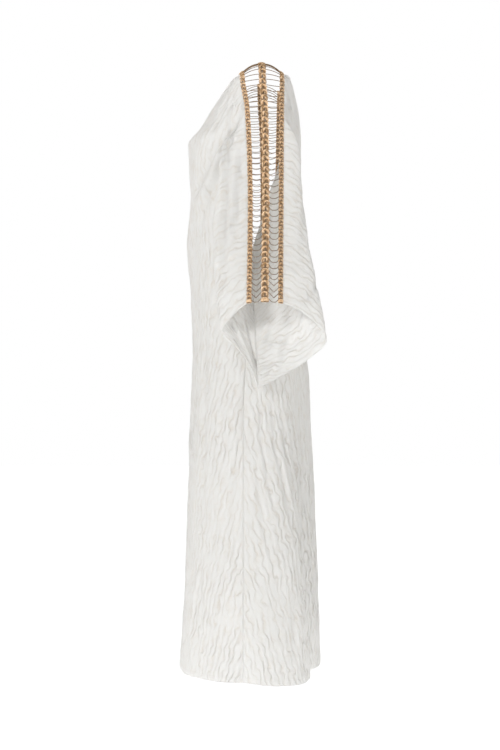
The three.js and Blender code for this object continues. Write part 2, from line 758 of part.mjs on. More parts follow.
// The ladder: two edge braids, a centre braid and a row of rungs either side of it.
class Ladder {
  constructor(side) {
    this.side = side;
    this.points = [];
    this.faces = [];
    const span = TRIM_LENGTH - 2 * RUNG_END_MARGIN;
    const count = Math.floor(span / RUNG_PITCH) + 1;
    const first = (TRIM_LENGTH - (count - 1) * RUNG_PITCH) / 2;
    this.rungs = Array.from({ length: count }, (_, k) => first + k * RUNG_PITCH);
    this.build();
  }

  add(run, across, lift) {
    const { point, normal } = trimPoint(run, across);
    point.addScaledVector(normal, lift);
    point.x *= this.side;
    this.points.push(point);
    return this.points.length - 1;
  }

  edgeLine(face, lift) {
    return edgeStations[face].map(({ point, normal }) => {
      const moved = point.clone().addScaledVector(normal, lift);
      moved.x *= this.side;
      this.points.push(moved);
      return this.points.length - 1;
    });
  }

  // The upper line beside a row of rungs has two points a rung, the lower one.
  railTop(across) {
    const runs = [0, ...this.rungs.flatMap((run) => [run - RUNG_WIDTH / 2, run + RUNG_WIDTH / 2])];
    return [...runs, TRIM_LENGTH].map((run) => this.add(run, across(run), TRIM_THICKNESS / 2));
  }

  railBottom(across) {
    const runs = [0, ...this.rungs, TRIM_LENGTH];
    return runs.map((run) => this.add(run, across(run), -TRIM_THICKNESS / 2));
  }

  quad(a, b, c, d) {
    this.triangle(a, b, c);
    this.triangle(a, c, d);
  }

  triangle(a, b, c) {
    this.faces.push(this.side > 0 ? [a, b, c] : [a, c, b]);
  }

  // A band between two lines that need not have the same number of points.
  band(left, right) {
    const share = (line) => line.map((index) => this.points[index].z / this.points[line.at(-1)].z);
    const [a, b] = [share(left), share(right)];
    let [i, j] = [0, 0];
    while (i < left.length - 1 || j < right.length - 1) {
      const stepLeft =
        j === right.length - 1 || (i < left.length - 1 && a[i] + a[i + 1] < b[j] + b[j + 1]);
      if (stepLeft) {
        this.triangle(left[i], left[i + 1], right[j]);
        i += 1;
      } else {
        this.triangle(left[i], right[j + 1], right[j]);
        j += 1;
      }
    }
  }

  // The side of a rail between its rungs; facing is 1 where it looks to the back.
  railSide(top, bottom, facing) {
    for (let k = 0; k + 1 < bottom.length; k += 1) {
      const [a, b] = [top[2 * k], top[2 * k + 1]];
      const [c, d] = [bottom[k], bottom[k + 1]];
      if (facing > 0) this.quad(a, b, d, c);
      else this.quad(a, c, d, b);
    }
  }

  // Three-sided rungs from one rail to the next, bent down in the middle.
  rungRow(front, back, middle) {
    this.rungs.forEach((run, k) => {
      const ends = [front, back].map(({ top, bottom }) => [
        top[2 * k + 1],
        top[2 * k + 2],
        bottom[k + 1],
      ]);
      const sag = rungSag(run);
      const place = middle(run);
      const rings = [ends[0], ends[1]];
      if (sag > 1) {
        const low = run + sag;
        rings.splice(1, 0, [
          this.add(low - RUNG_WIDTH / 2, place, TRIM_THICKNESS / 2),
          this.add(low + RUNG_WIDTH / 2, place, TRIM_THICKNESS / 2),
          this.add(low, place, -TRIM_THICKNESS / 2),
        ]);
      }
      rings.slice(1).forEach((ring, step) => {
        const from = rings[step];
        this.quad(from[0], from[1], ring[1], ring[0]);
        this.quad(from[1], from[2], ring[2], ring[1]);
        this.quad(from[2], from[0], ring[0], ring[2]);
      });
    });
  }

  build() {
    const half = TRIM_THICKNESS / 2;
    const place = (offset) => (run) => offset / trimPoint(run, 0).half;
    const inset = (face) => (run) => {
      const { half: reach } = trimPoint(run, 0);
      const slant = Math.cos(Math.atan((2 * trimCrown(run)) / reach));
      return face * (1 - (EDGE_BRAID * slant) / reach);
    };
    const rail = (across) => ({ top: this.railTop(across), bottom: this.railBottom(across) });
    const outerFront = { top: this.edgeLine(FRONT, half), bottom: this.edgeLine(FRONT, -half) };
    const outerBack = { top: this.edgeLine(BACK, half), bottom: this.edgeLine(BACK, -half) };
    const rails = [
      rail(inset(FRONT)),
      rail(place(-CENTRE_BRAID / 2)),
      rail(place(CENTRE_BRAID / 2)),
      rail(inset(BACK)),
    ];
    this.braid(outerFront, rails[0]);
    this.braid(rails[1], rails[2]);
    this.braid(rails[3], outerBack);
    this.wallSide(outerFront, -1);
    this.wallSide(outerBack, 1);
    this.railSide(rails[0].top, rails[0].bottom, 1);
    this.railSide(rails[1].top, rails[1].bottom, -1);
    this.railSide(rails[2].top, rails[2].bottom, 1);
    this.railSide(rails[3].top, rails[3].bottom, -1);
    const between = (low, high) => (run) => (low(run) + high(run)) / 2;
    this.rungRow(rails[0], rails[1], between(inset(FRONT), place(-CENTRE_BRAID / 2)));
    this.rungRow(rails[2], rails[3], between(place(CENTRE_BRAID / 2), inset(BACK)));
  }

  // Upper face, lower face and both ends of a braid between its front and back lines.
  braid(front, back) {
    this.band(front.top, back.top);
    this.band(back.bottom, front.bottom);
    this.quad(front.top[0], back.top[0], back.bottom[0], front.bottom[0]);
    const ends = [front.top, front.bottom, back.bottom, back.top].map((line) => line.at(-1));
    this.quad(...ends);
  }

  wallSide({ top, bottom }, facing) {
    for (let k = 0; k + 1 < top.length; k += 1) {
      if (facing > 0) this.quad(top[k], top[k + 1], bottom[k + 1], bottom[k]);
      else this.quad(top[k], bottom[k], bottom[k + 1], top[k + 1]);
    }
  }

  geometry() {
    return solid(this.points, this.faces);
  }
}

const crinkledCloth = new THREE.MeshStandardMaterial({
  color: "#f1efeb",
  roughness: 0.85,
  metalness: 0,
  side: THREE.DoubleSide,
});
const bronzeBraid = new THREE.MeshStandardMaterial({
  color: "#a98a68",
  roughness: 0.5,
  metalness: 0.35,
});

function piece(name, geometry, material) {
  const mesh = new THREE.Mesh(geometry, material);
  mesh.name = name;
  return mesh;
}

const kaftan = new THREE.Group();
kaftan.add(
  piece("front", wall(new Panel(FRONT)), crinkledCloth),
  piece("back", wall(new Panel(BACK)), crinkledCloth),
  piece("ladder_trim_left", new Ladder(1).geometry(), bronzeBraid),
  piece("ladder_trim_right", new Ladder(-1).geometry(), bronzeBraid),
);

export default kaftan;
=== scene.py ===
"""Kaftan of crinkled white cotton with an open ladder trim down each sleeve.

The garment hangs from its shoulders as it would on a body, with nobody in it.
Its form is worked out in millimetres from the same named sizes as the solids,
with X to the wearer's left, Y to the back and Z up from the shoulder line.
"down" is a distance below that line, and "cut" is a distance from the centre
line measured in the flat cloth.
"""

import logging
import math
from dataclasses import dataclass, field
from enum import IntEnum
from typing import Callable, NamedTuple

import bpy
import numpy as np
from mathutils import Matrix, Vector

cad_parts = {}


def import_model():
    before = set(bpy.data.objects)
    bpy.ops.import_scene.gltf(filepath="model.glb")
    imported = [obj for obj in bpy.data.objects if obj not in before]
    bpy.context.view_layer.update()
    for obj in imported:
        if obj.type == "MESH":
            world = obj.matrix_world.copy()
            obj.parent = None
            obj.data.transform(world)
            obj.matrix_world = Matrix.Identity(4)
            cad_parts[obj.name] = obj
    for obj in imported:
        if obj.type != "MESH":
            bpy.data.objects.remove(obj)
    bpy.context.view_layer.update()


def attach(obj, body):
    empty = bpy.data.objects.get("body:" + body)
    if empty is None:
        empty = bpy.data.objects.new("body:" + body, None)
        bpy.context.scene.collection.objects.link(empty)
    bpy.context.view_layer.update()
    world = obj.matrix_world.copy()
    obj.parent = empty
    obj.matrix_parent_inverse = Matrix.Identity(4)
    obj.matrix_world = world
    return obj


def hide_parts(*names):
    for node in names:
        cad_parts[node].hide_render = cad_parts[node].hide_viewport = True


log = logging.getLogger("kaftan")

Array = np.ndarray
MM = 0.001
BODY = "root"


class Face(IntEnum):
    """The two cloth panels, by the sign of Y on their side of the garment."""

    FRONT = -1
    BACK = 1


class Side(IntEnum):
    """The wearer's left and right, by the sign of X."""

    LEFT = 1
    RIGHT = -1


def smoothstep(x: Array | float, low: float, high: float) -> Array:
    """A soft step from 0 at low to 1 at high.

    Args:
        x: Where to read the step.
        low: End of the zeros.
        high: Start of the ones.

    Returns:
        The step's height at each x.
    """
    t = np.clip((np.asarray(x, float) - low) / (high - low), 0.0, 1.0)
    return t * t * (3.0 - 2.0 * t)


def lerp(a: Array | float, b: Array | float, t: Array | float) -> Array:
    """The value at share t of the way from a to b."""
    return a + (b - a) * t


def unit(vectors: Array) -> Array:
    """Vectors of length one in the same directions, each along the last axis."""
    length = np.linalg.norm(vectors, axis=-1, keepdims=True)
    return vectors / np.maximum(length, 1e-12)


def measured(lines: Array) -> Array:
    """Distances along lines of points.

    Args:
        lines: Points, with the steps of a line on the last axis but one.

    Returns:
        The distance at each point, from 0 at its line's start.
    """
    spans = np.linalg.norm(np.diff(lines, axis=-2), axis=-1).cumsum(axis=-1)
    return np.concatenate([np.zeros((*spans.shape[:-1], 1)), spans], axis=-1)


class SmoothTable:
    """A smooth line through rows of (place, value) that never overshoots a row."""

    def __init__(self, *rows: tuple[float, float]) -> None:
        """Works out the line's slopes at its rows.

        Args:
            *rows: Place and value of each row, in order of place.
        """
        self.places = np.array([row[0] for row in rows], float)
        self.values = np.array([row[1] for row in rows], float)
        chords = np.diff(self.values) / np.diff(self.places)
        before, after = chords[:-1], chords[1:]
        same = before * after > 0
        total = np.where(same, before + after, 1.0)
        middle = np.where(same, 2.0 * before * after / total, 0.0)
        self.slopes = np.concatenate([chords[:1], middle, chords[-1:]])

    def __call__(self, x: Array | float) -> Array:
        """The line's value, held at its end values beyond its ends.

        Args:
            x: Places to read it at.

        Returns:
            The value at each place.
        """
        at = np.clip(np.asarray(x, float), self.places[0], self.places[-1])
        k = np.clip(np.searchsorted(self.places, at) - 1, 0, len(self.places) - 2)
        step = self.places[k + 1] - self.places[k]
        t = (at - self.places[k]) / step
        t2, t3 = t * t, t * t * t
        return (
            self.values[k] * (2 * t3 - 3 * t2 + 1)
            + self.slopes[k] * step * (t3 - 2 * t2 + t)
            + self.values[k + 1] * (3 * t2 - 2 * t3)
            + self.slopes[k + 1] * step * (t3 - t2)
        )


class SmoothNoise:
    """Seeded noise from -1 to 1 over a plane, smooth between the points of a lattice."""

    SIZE = 128

    def __init__(self, seed: int) -> None:
        """Draws the lattice's values from a seed."""
        self.values = np.random.default_rng(seed).uniform(-1.0, 1.0, (self.SIZE, self.SIZE))

    def __call__(self, x: Array, y: Array) -> Array:
        """The noise at points of the plane.

        Args:
            x: Places on the first axis, where one lattice step is one unit.
            y: Places on the second axis.

        Returns:
            The noise at each point.
        """
        x0, y0 = np.floor(x).astype(int), np.floor(y).astype(int)
        tx, ty = smoothstep(x - x0, 0.0, 1.0), smoothstep(y - y0, 0.0, 1.0)
        a, b = x0 % self.SIZE, (x0 + 1) % self.SIZE
        c, d = y0 % self.SIZE, (y0 + 1) % self.SIZE
        low = lerp(self.values[a, c], self.values[b, c], tx)
        high = lerp(self.values[a, d], self.values[b, d], tx)
        return lerp(low, high, ty)


class TrimPlace(NamedTuple):
    """Points on the trim's crowned surface with the directions there."""

    point: Array
    normal: Array
    sideways: Array
    half: Array


@dataclass(frozen=True)
class TrimLine:
    """The line that a ladder trim takes: down the shoulder, round it, down the arm.

    "run" is the distance along the trim from the neck. "across" is -1 at its
    front edge and 1 at its back edge.
    """

    neck_cut: float = 120.0
    cuff_cut: float = 720.0
    flat_slope: float = math.radians(20)
    shoulder_slope: float = math.radians(17)
    arm_slope: float = math.radians(79.5)
    shoulder_drop: float = 7.0
    shoulder_run: float = 50.0
    bend_radius: float = 42.0
    front: SmoothTable = SmoothTable(
        (0, -26), (95, -22.5), (170, -12), (300, -6), (400, -4.6), (640, -7.7)
    )
    back: SmoothTable = SmoothTable(
        (0, 81), (95, 80.5), (170, 79.5), (300, 78), (400, 77), (640, 75)
    )
    crown: SmoothTable = SmoothTable((0, 28), (95, 24), (170, 17), (300, 16), (640, 16))

    @property
    def length(self) -> float:
        """Length of the trim from the neck to the cuff."""
        return float(self.run_of(self.cuff_cut))

    def run_of(self, cut: Array | float) -> Array:
        """Distance along the trim at which the cloth's column "cut" starts."""
        return (np.asarray(cut, float) - self.neck_cut) / math.cos(self.flat_slope)

    def cut_of(self, run: Array | float) -> Array:
        """The cloth's column that starts at a distance along the trim."""
        return self.neck_cut + np.asarray(run, float) * math.cos(self.flat_slope)

    def place(self, run: Array | float, across: Array | float) -> TrimPlace:
        """Points of the crowned surface for the wearer's left side.

        Args:
            run: Distances along the trim.
            across: Places across it, -1 to 1.

        Returns:
            The points, with the outward normals, the directions towards the
            back and the trim's half width there.
        """
        run, across = np.broadcast_arrays(np.asarray(run, float), np.asarray(across, float))
        bend = self.bend_radius * (self.arm_slope - self.shoulder_slope)
        on_slope = np.minimum(run, self.shoulder_run)
        on_bend = np.clip(run - self.shoulder_run, 0.0, bend)
        on_arm = np.maximum(run - self.shoulder_run - bend, 0.0)
        slope = self.shoulder_slope + on_bend / self.bend_radius
        x = (
            self.neck_cut
            + on_slope * math.cos(self.shoulder_slope)
            + self.bend_radius * (np.sin(slope) - math.sin(self.shoulder_slope))
            + on_arm * math.cos(self.arm_slope)
        )
        down = (
            self.shoulder_drop
            + on_slope * math.sin(self.shoulder_slope)
            + self.bend_radius * (math.cos(self.shoulder_slope) - np.cos(slope))
            + on_arm * math.sin(self.arm_slope)
        )
        front, back, crown = self.front(run), self.back(run), self.crown(run)
        half = (back - front) / 2
        zero = np.zeros_like(x)
        up = np.stack([np.sin(slope), zero, np.cos(slope)], -1)
        along = np.stack([np.cos(slope), zero, -np.sin(slope)], -1)
        sideways = np.stack([zero, half, zero], -1) - up * (2 * crown * across)[..., None]
        sideways = unit(sideways)
        point = np.stack([x, (front + back) / 2 + half * across, -down], -1)
        point = point - up * (crown * across * across)[..., None]
        return TrimPlace(point, unit(np.cross(along, sideways)), sideways, half)


class Guide(NamedTuple):
    """A line along a sleeve: x, y and down against the share of the sleeve's length."""

    x: SmoothTable
    y: SmoothTable
    down: SmoothTable

    @classmethod
    def through(cls, *rows: tuple[float, float, float, float]) -> "Guide":
        """The guide through rows of (share, x, y, down)."""
        return cls(*(SmoothTable(*((row[0], row[k]) for row in rows)) for k in (1, 2, 3)))

    def __call__(self, share: Array) -> Array:
        """Points of the guide."""
        return np.stack([self.x(share), self.y(share), -self.down(share)], -1)


@dataclass(frozen=True)
class Fold:
    """A long soft fold of the body, wide enough to be in the solids too.

    "start" and "end" are places across the section at its top and bottom, 0 at
    the centre line and 1 at the side. "depth" is below 0 for a trough.
    """

    RISE_END = 0.45
    FALL_START = 0.6

    side: Side
    start: float
    end: float
    width: float
    depth: float
    top: float
    bottom: float

    def push(self, share: Array, down: Array, hem: float) -> Array:
        """How far the fold pushes the cloth out.

        Args:
            share: Places across the sections, 0 at the centre line.
            down: Heights of the points.
            hem: Height of the hem. A fold that ends past it doesn't fade.

        Returns:
            The distance outwards at each point.
        """
        t = (down - self.top) / (self.bottom - self.top)
        inside = (t >= 0) & (t <= 1)
        rise = smoothstep(t, 0.0, self.RISE_END)
        fall = 1.0 if self.bottom > hem else 1.0 - smoothstep(t, self.FALL_START, 1.0)
        place = lerp(self.start, self.end, np.clip(t, 0.0, 1.0))
        shape = np.exp(-(((share - place) / self.width) ** 2))
        return np.where(inside, self.depth * rise * fall * shape, 0.0)


L, R = Side.LEFT, Side.RIGHT

FOLDS = {
    Face.FRONT: (
        Fold(L, 0.4, 0.3, 0.09, -9, 560, 1120),
        Fold(R, 0.36, 0.3, 0.09, -8, 600, 1200),
        Fold(L, 0.6, 0.5, 0.12, 5, 700, 1500),
        Fold(R, 0.64, 0.5, 0.12, 6, 760, 1500),
        Fold(L, 0.55, 0.2, 0.12, 4, 170, 460),
        Fold(R, 0.55, 0.2, 0.12, 4, 170, 460),
    ),
    Face.BACK: (
        Fold(L, 0.5, 0.33, 0.08, -22, 640, 1600),
        Fold(R, 0.46, 0.34, 0.08, -19, 680, 1600),
        Fold(L, 0.72, 0.62, 0.1, 7, 760, 1600),
        Fold(R, 0.7, 0.64, 0.1, 7, 720, 1600),
        Fold(L, 0.8, 0.55, 0.09, -7, 60, 420),
        Fold(R, 0.8, 0.55, 0.09, -7, 60, 420),
    ),
}

SLEEVES = {
    Face.FRONT: (
        Guide.through(
            (0, 188, -24, 150), (0.12, 202, -39, 190), (0.35, 221, -46, 300),
            (0.65, 247, -51, 445), (0.85, 262, -47, 545), (1, 271, -39, 618),
        ),
        Guide.through(
            (0, 188, -32, 190), (0.12, 200, -59, 210), (0.35, 213, -74, 325),
            (0.65, 236, -82, 480), (0.85, 250, -78, 585), (1, 258, -65, 655),
        ),
        Guide.through(
            (0, 188, -33, 260), (0.12, 194, -52, 280), (0.35, 201, -58, 400),
            (0.65, 221, -60, 550), (0.85, 238, -46, 640), (1, 247, -28, 694),
        ),
        Guide.through(
            (0, 188, -17, 380), (0.12, 194, -22, 400), (0.35, 205, -24, 495),
            (0.65, 222, -20, 615), (0.85, 237, -8, 692), (1, 247, 2, 738),
        ),
    ),
    Face.BACK: (
        Guide.through(
            (0, 188, 79, 150), (0.12, 204, 96, 185), (0.35, 223, 102, 296),
            (0.65, 248, 110, 441), (0.85, 263, 119, 540), (1, 273, 113, 606),
        ),
        Guide.through(
            (0, 188, 76, 190), (0.12, 204, 110, 210), (0.35, 217, 122, 325),
            (0.65, 240, 138, 475), (0.85, 253, 161, 585), (1, 260, 177, 672),
        ),
        Guide.through(
            (0, 188, 66, 260), (0.12, 197, 98, 275), (0.35, 204, 106, 400),
            (0.65, 223, 112, 555), (0.85, 240, 124, 655), (1, 250, 137, 716),
        ),
        Guide.through(
            (0, 188, 30, 380), (0.12, 195, 48, 390), (0.35, 206, 54, 495),
            (0.65, 223, 62, 620), (0.85, 239, 66, 706), (1, 248, 74, 756),
        ),
    ),
}
UNDERARM_SEAM = Guide.through(
    (0, 188, 3, 465), (0.12, 197, 4.9, 505), (0.35, 209, 8.5, 580),
    (0.65, 226, 13.1, 675), (0.85, 239, 16.3, 742), (1, 248, 18.6, 784),
)


@dataclass(frozen=True)
class GarmentForm:
    """The cloth's form: body sections, sleeves and the seams between the panels.

    All points are of the wearer's left half; the right half is its mirror image,
    apart from the folds. "centre", "armpit" and "side_y" give Y by height, and
    "hem" gives the hem's height by the share of a panel's half width.
    """

    RUN_SAMPLES = 1500
    GUIDE_STEPS = 14
    NECK_BLEND = 12.0
    ARMPIT_BLEND = 45.0

    trim: TrimLine = TrimLine()
    underarm_cut: float = 270.0
    hem_cut: float = 435.0
    v_neck_down: float = 190.0
    back_neck_down: float = 25.0
    underarm_down: float = 465.0
    hem_side_down: float = 1445.0
    seam_gap: float = 0.3
    section_steps: int = 96
    centre: dict[Face, SmoothTable] = field(
        default_factory=lambda: {
            Face.FRONT: SmoothTable(
                (15, -25), (38, -39), (77, -68), (116, -97), (155, -125), (190, -152),
                (245, -149), (310, -145), (410, -154), (550, -147), (700, -141),
                (950, -149), (1170, -155), (1330, -162), (1470, -173),
            ),
            Face.BACK: SmoothTable(
                (15, 96), (38, 103), (77, 112), (116, 119), (174, 124), (250, 122),
                (400, 118), (550, 125), (730, 141), (1000, 156), (1250, 165), (1470, 173),
            ),
        }
    )
    armpit: dict[Face, SmoothTable] = field(
        default_factory=lambda: {
            Face.FRONT: SmoothTable(
                (117, -13), (150, -24), (190, -32), (260, -33), (330, -27), (400, -13), (465, 3)
            ),
            Face.BACK: SmoothTable(
                (117, 79), (150, 79), (190, 76), (260, 66), (330, 45), (400, 24), (465, 3)
            ),
        }
    )
    armpit_x: float = 188.0
    hem: dict[Face, SmoothTable] = field(
        default_factory=lambda: {
            Face.FRONT: SmoothTable((0, 1468), (0.4, 1457), (0.75, 1448), (1, 1445)),
            Face.BACK: SmoothTable((0, 1455), (0.35, 1459), (0.6, 1464), (0.8, 1458), (1, 1445)),
        }
    )
    side_x: SmoothTable = SmoothTable(
        (465, 187), (510, 189), (600, 201), (825, 239), (1140, 287), (1470, 335)
    )
    side_y: tuple[tuple[float, ...], tuple[float, ...]] = (
        (465, 510, 600, 825, 1140, 1470),
        (3, 0.7, -3.8, -15, -15, -15),
    )
    power: SmoothTable = SmoothTable((15, 1.55), (120, 1.7), (220, 2.2), (700, 2.3), (1470, 2.15))

    def edge(self, face: Face, run: Array | float) -> tuple[Array, Array]:
        """Points of the cloth's edge along the trim, and the normals there."""
        place = self.trim.place(run, float(face))
        return place.point + face * self.seam_gap * place.sideways, place.normal

    def run_at(self, face: Face, down: Array) -> Array:
        """Distance along the trim at which its edge is at a height.

        Args:
            face: Which panel's edge.
            down: Heights to look up.

        Returns:
            The run at each height.
        """
        runs = np.linspace(0.0, self.trim.length, self.RUN_SAMPLES)
        points, _ = self.edge(face, runs)
        return np.interp(down, -points[:, 2], runs)

    def side_cut(self, down: Array) -> Array:
        """Flat half width of a panel at a height below the underarm."""
        t = (down - self.underarm_down) / (self.hem_side_down - self.underarm_down)
        return lerp(self.underarm_cut, self.hem_cut, t)

    def section_start(self, face: Face, down: Array) -> tuple[Array, Array, Array]:
        """Where level sections start: at the centre line, or at the V neck's edge.

        Args:
            face: Which panel.
            down: Heights of the sections.

        Returns:
            x, y and cut of the start of each section.
        """
        y = self.centre[face](down)
        zero = np.zeros_like(y)
        if face is Face.BACK:
            return zero, y, zero
        neck, _ = self.edge(face, 0.0)
        top = -neck[2]
        t = np.clip((down - top) / (self.v_neck_down - top), 0.0, 1.0)
        y = np.where(t < 1.0, lerp(neck[1], y, np.minimum(1.0, t * self.NECK_BLEND)), y)
        return neck[0] * (1 - t), y, self.trim.neck_cut * (1 - t)

    def section_end(self, face: Face, down: Array) -> tuple[Array, Array, Array]:
        """Where level sections end: at the trim, the armpit or the side seam.

        Args:
            face: Which panel.
            down: Heights of the sections.

        Returns:
            x, y and cut of the end of each section.
        """
        top, _ = self.edge(face, self.trim.run_of(self.underarm_cut))
        run = self.run_at(face, down)
        at_trim, _ = self.edge(face, run)
        above, below = down < -top[2], down >= self.underarm_down
        side_y = np.interp(down, *self.side_y) + face * self.seam_gap / 2
        x = np.where(above, at_trim[:, 0], np.where(below, self.side_x(down), self.armpit_x))
        y = np.where(above, at_trim[:, 1], np.where(below, side_y, self.armpit[face](down)))
        full = np.where(below, self.side_cut(down), self.underarm_cut)
        return x, y, np.where(above, self.trim.cut_of(run), full)

    def body(self, face: Face, side: Side, cut: Array, down: Array) -> Array:
        """Points of half a body.

        Args:
            face: Which panel.
            side: Which half, for its folds.
            cut: Columns of the flat cloth, one for each point.
            down: Heights, one for each point.

        Returns:
            The points, for the wearer's left.
        """
        x0, y0, cut0 = self.section_start(face, down)
        x1, y1, cut1 = self.section_end(face, down)
        bend = (2.0 / self.power(down))[:, None]
        angle = np.linspace(0.0, math.pi / 2, self.section_steps + 1)[None, :]
        x = x0[:, None] + (x1 - x0)[:, None] * np.sin(angle) ** bend
        y = y1[:, None] + (y0 - y1)[:, None] * np.clip(np.cos(angle), 0, 1) ** bend
        y[:, -1] = y1
        lengths = np.hypot(np.diff(x), np.diff(y)).cumsum(axis=1)
        lengths = np.concatenate([np.zeros((len(cut), 1)), lengths], axis=1)
        share = np.clip((cut - cut0) / np.maximum(cut1 - cut0, 1e-9), 0.0, 1.0)
        length = share * lengths[:, -1]
        k = np.clip((lengths < length[:, None]).sum(axis=1) - 1, 0, self.section_steps - 1)
        row = np.arange(len(cut))
        span = np.maximum(lengths[row, k + 1] - lengths[row, k], 1e-9)
        t = (length - lengths[row, k]) / span
        near = np.clip(np.stack([k - 1, k + 2]), 0, self.section_steps)
        step = np.stack([x[row, near[1]] - x[row, near[0]], y[row, near[1]] - y[row, near[0]]], -1)
        step = unit(step)
        depth = sum(
            fold.push(share, down, self.hem_side_down)
            for fold in FOLDS[face]
            if fold.side is side
        )
        px = lerp(x[row, k], x[row, k + 1], t) - face * step[:, 1] * depth
        py = lerp(y[row, k], y[row, k + 1], t) + face * step[:, 0] * depth
        return np.stack([px, py, -down], -1)

    def top_down(self, face: Face, cut: Array) -> Array:
        """Heights at which columns of the body start, at the neckline or the trim.

        Args:
            face: Which panel.
            cut: Columns of the flat cloth.

        Returns:
            The height at each column's top.
        """
        at_trim, _ = self.edge(face, np.maximum(self.trim.run_of(cut), 0.0))
        neck, _ = self.edge(face, 0.0)
        share = np.clip(cut / self.trim.neck_cut, 0.0, 1.0)
        if face is Face.FRONT:
            at_neck = lerp(self.v_neck_down, -neck[2], share)
        else:
            at_neck = lerp(self.back_neck_down, -neck[2], share * share)
        return np.where(cut >= self.trim.neck_cut, -at_trim[..., 2], at_neck)

    def sleeve(self, face: Face, cut: Array, shares: Array, first: Array) -> Array:
        """Points of a half sleeve.

        Args:
            face: Which panel.
            cut: Columns of the flat cloth, from the armpit to the cuff.
            shares: Shares of a column's length, 0 at the trim and 1 at the
                underarm seam.
            first: The body's points on the column at the armpit, which the
                sleeve starts from.

        Returns:
            The points by column and share.
        """
        along = (cut - self.underarm_cut) / (self.trim.cuff_cut - self.underarm_cut)
        top, _ = self.edge(face, self.trim.run_of(cut))
        seam = UNDERARM_SEAM(along)
        seam[:, 1] += face * self.seam_gap / 2
        guides = np.stack([top, *(guide(along) for guide in SLEEVES[face]), seam], axis=1)
        line = centripetal(guides, self.GUIDE_STEPS)
        lengths = measured(line)
        lengths /= lengths[:, -1:]
        points = np.empty((len(cut), len(shares), 3))
        for column in range(len(cut)):
            for axis in range(3):
                points[column, :, axis] = np.interp(shares, lengths[column], line[column, :, axis])
        fade = 1.0 - smoothstep(cut - self.underarm_cut, 0.0, self.ARMPIT_BLEND)
        return points + (first - points[0])[None] * fade[:, None, None]


def centripetal(guides: Array, steps: int) -> Array:
    """Centripetal Catmull-Rom lines through rows of points.

    Args:
        guides: Points as (line, point, 3).
        steps: Steps between one point and the next.

    Returns:
        Points as (line, step, 3), ends included.
    """
    before = 2 * guides[:, :1] - guides[:, 1:2]
    after = 2 * guides[:, -1:] - guides[:, -2:-1]
    points = np.concatenate([before, guides, after], axis=1)
    gaps = np.maximum(np.linalg.norm(np.diff(points, axis=1), axis=2) ** 0.5, 1e-4)[..., None]
    t = (np.arange(steps) / steps)[None, :, None]
    made = []
    for k in range(guides.shape[1] - 1):
        p0, p1, p2, p3 = (points[:, k + i] for i in range(4))
        g0, g1, g2 = (gaps[:, k + i] for i in range(3))
        m1 = ((p1 - p0) / g0 - (p2 - p0) / (g0 + g1) + (p2 - p1) / g1) * g1
        m2 = ((p2 - p1) / g1 - (p3 - p1) / (g1 + g2) + (p3 - p2) / g2) * g1
        p1, p2, m1, m2 = (value[:, None] for value in (p1, p2, m1, m2))
        made.append(
            p1 * (2 * t**3 - 3 * t**2 + 1)
            + m1 * (t**3 - 2 * t**2 + t)
            + p2 * (3 * t**2 - 2 * t**3)
            + m2 * (t**3 - t**2)
        )
    made.append(guides[:, -1:])
    return np.concatenate(made, axis=1)


@dataclass(frozen=True)
class Crease:
    """A crease: a trough, or a ridge where depth is above 0.

    The path is in the flat cloth of the wearer's left, as (cut, down) points
    from end to end. Its like on the right is moved, and "share" times as deep.
    """

    path: tuple[tuple[float, float], ...]
    width: float
    depth: float
    moved: tuple[float, float] = (0.0, 0.0)
    share: float = 1.0

    def push(self, side: Side, cut: Array, down: Array) -> Array:
        """How far the crease pushes the cloth out.

        Args:
            side: Which half of the garment.
            cut: Columns of the points in that half's flat cloth.
            down: Distances down the columns.

        Returns:
            The distance outwards at each point.
        """
        right = side is Side.RIGHT
        knots = np.array(self.path, float) + (self.moved if right else (0.0, 0.0))
        starts = measured(knots)
        spans = np.linalg.norm(np.diff(knots, axis=0), axis=1)
        best = np.full(cut.shape, 1e9)
        along = np.zeros(cut.shape)
        for start, end, span, before in zip(knots[:-1], knots[1:], spans, starts[:-1]):
            step = (end - start) / span
            rx, ry = cut - start[0], down - start[1]
            t = np.clip(rx * step[0] + ry * step[1], 0.0, span)
            away = np.hypot(rx - t * step[0], ry - t * step[1])
            closer = away < best
            best = np.where(closer, away, best)
            along = np.where(closer, before + t, along)
        share = along / starts[-1]
        ends = smoothstep(share, 0.0, 0.3) * (1.0 - smoothstep(share, 0.7, 1.0))
        depth = self.depth * (self.share if right else 1.0)
        return depth * ends * np.exp(-((best / self.width) ** 2))


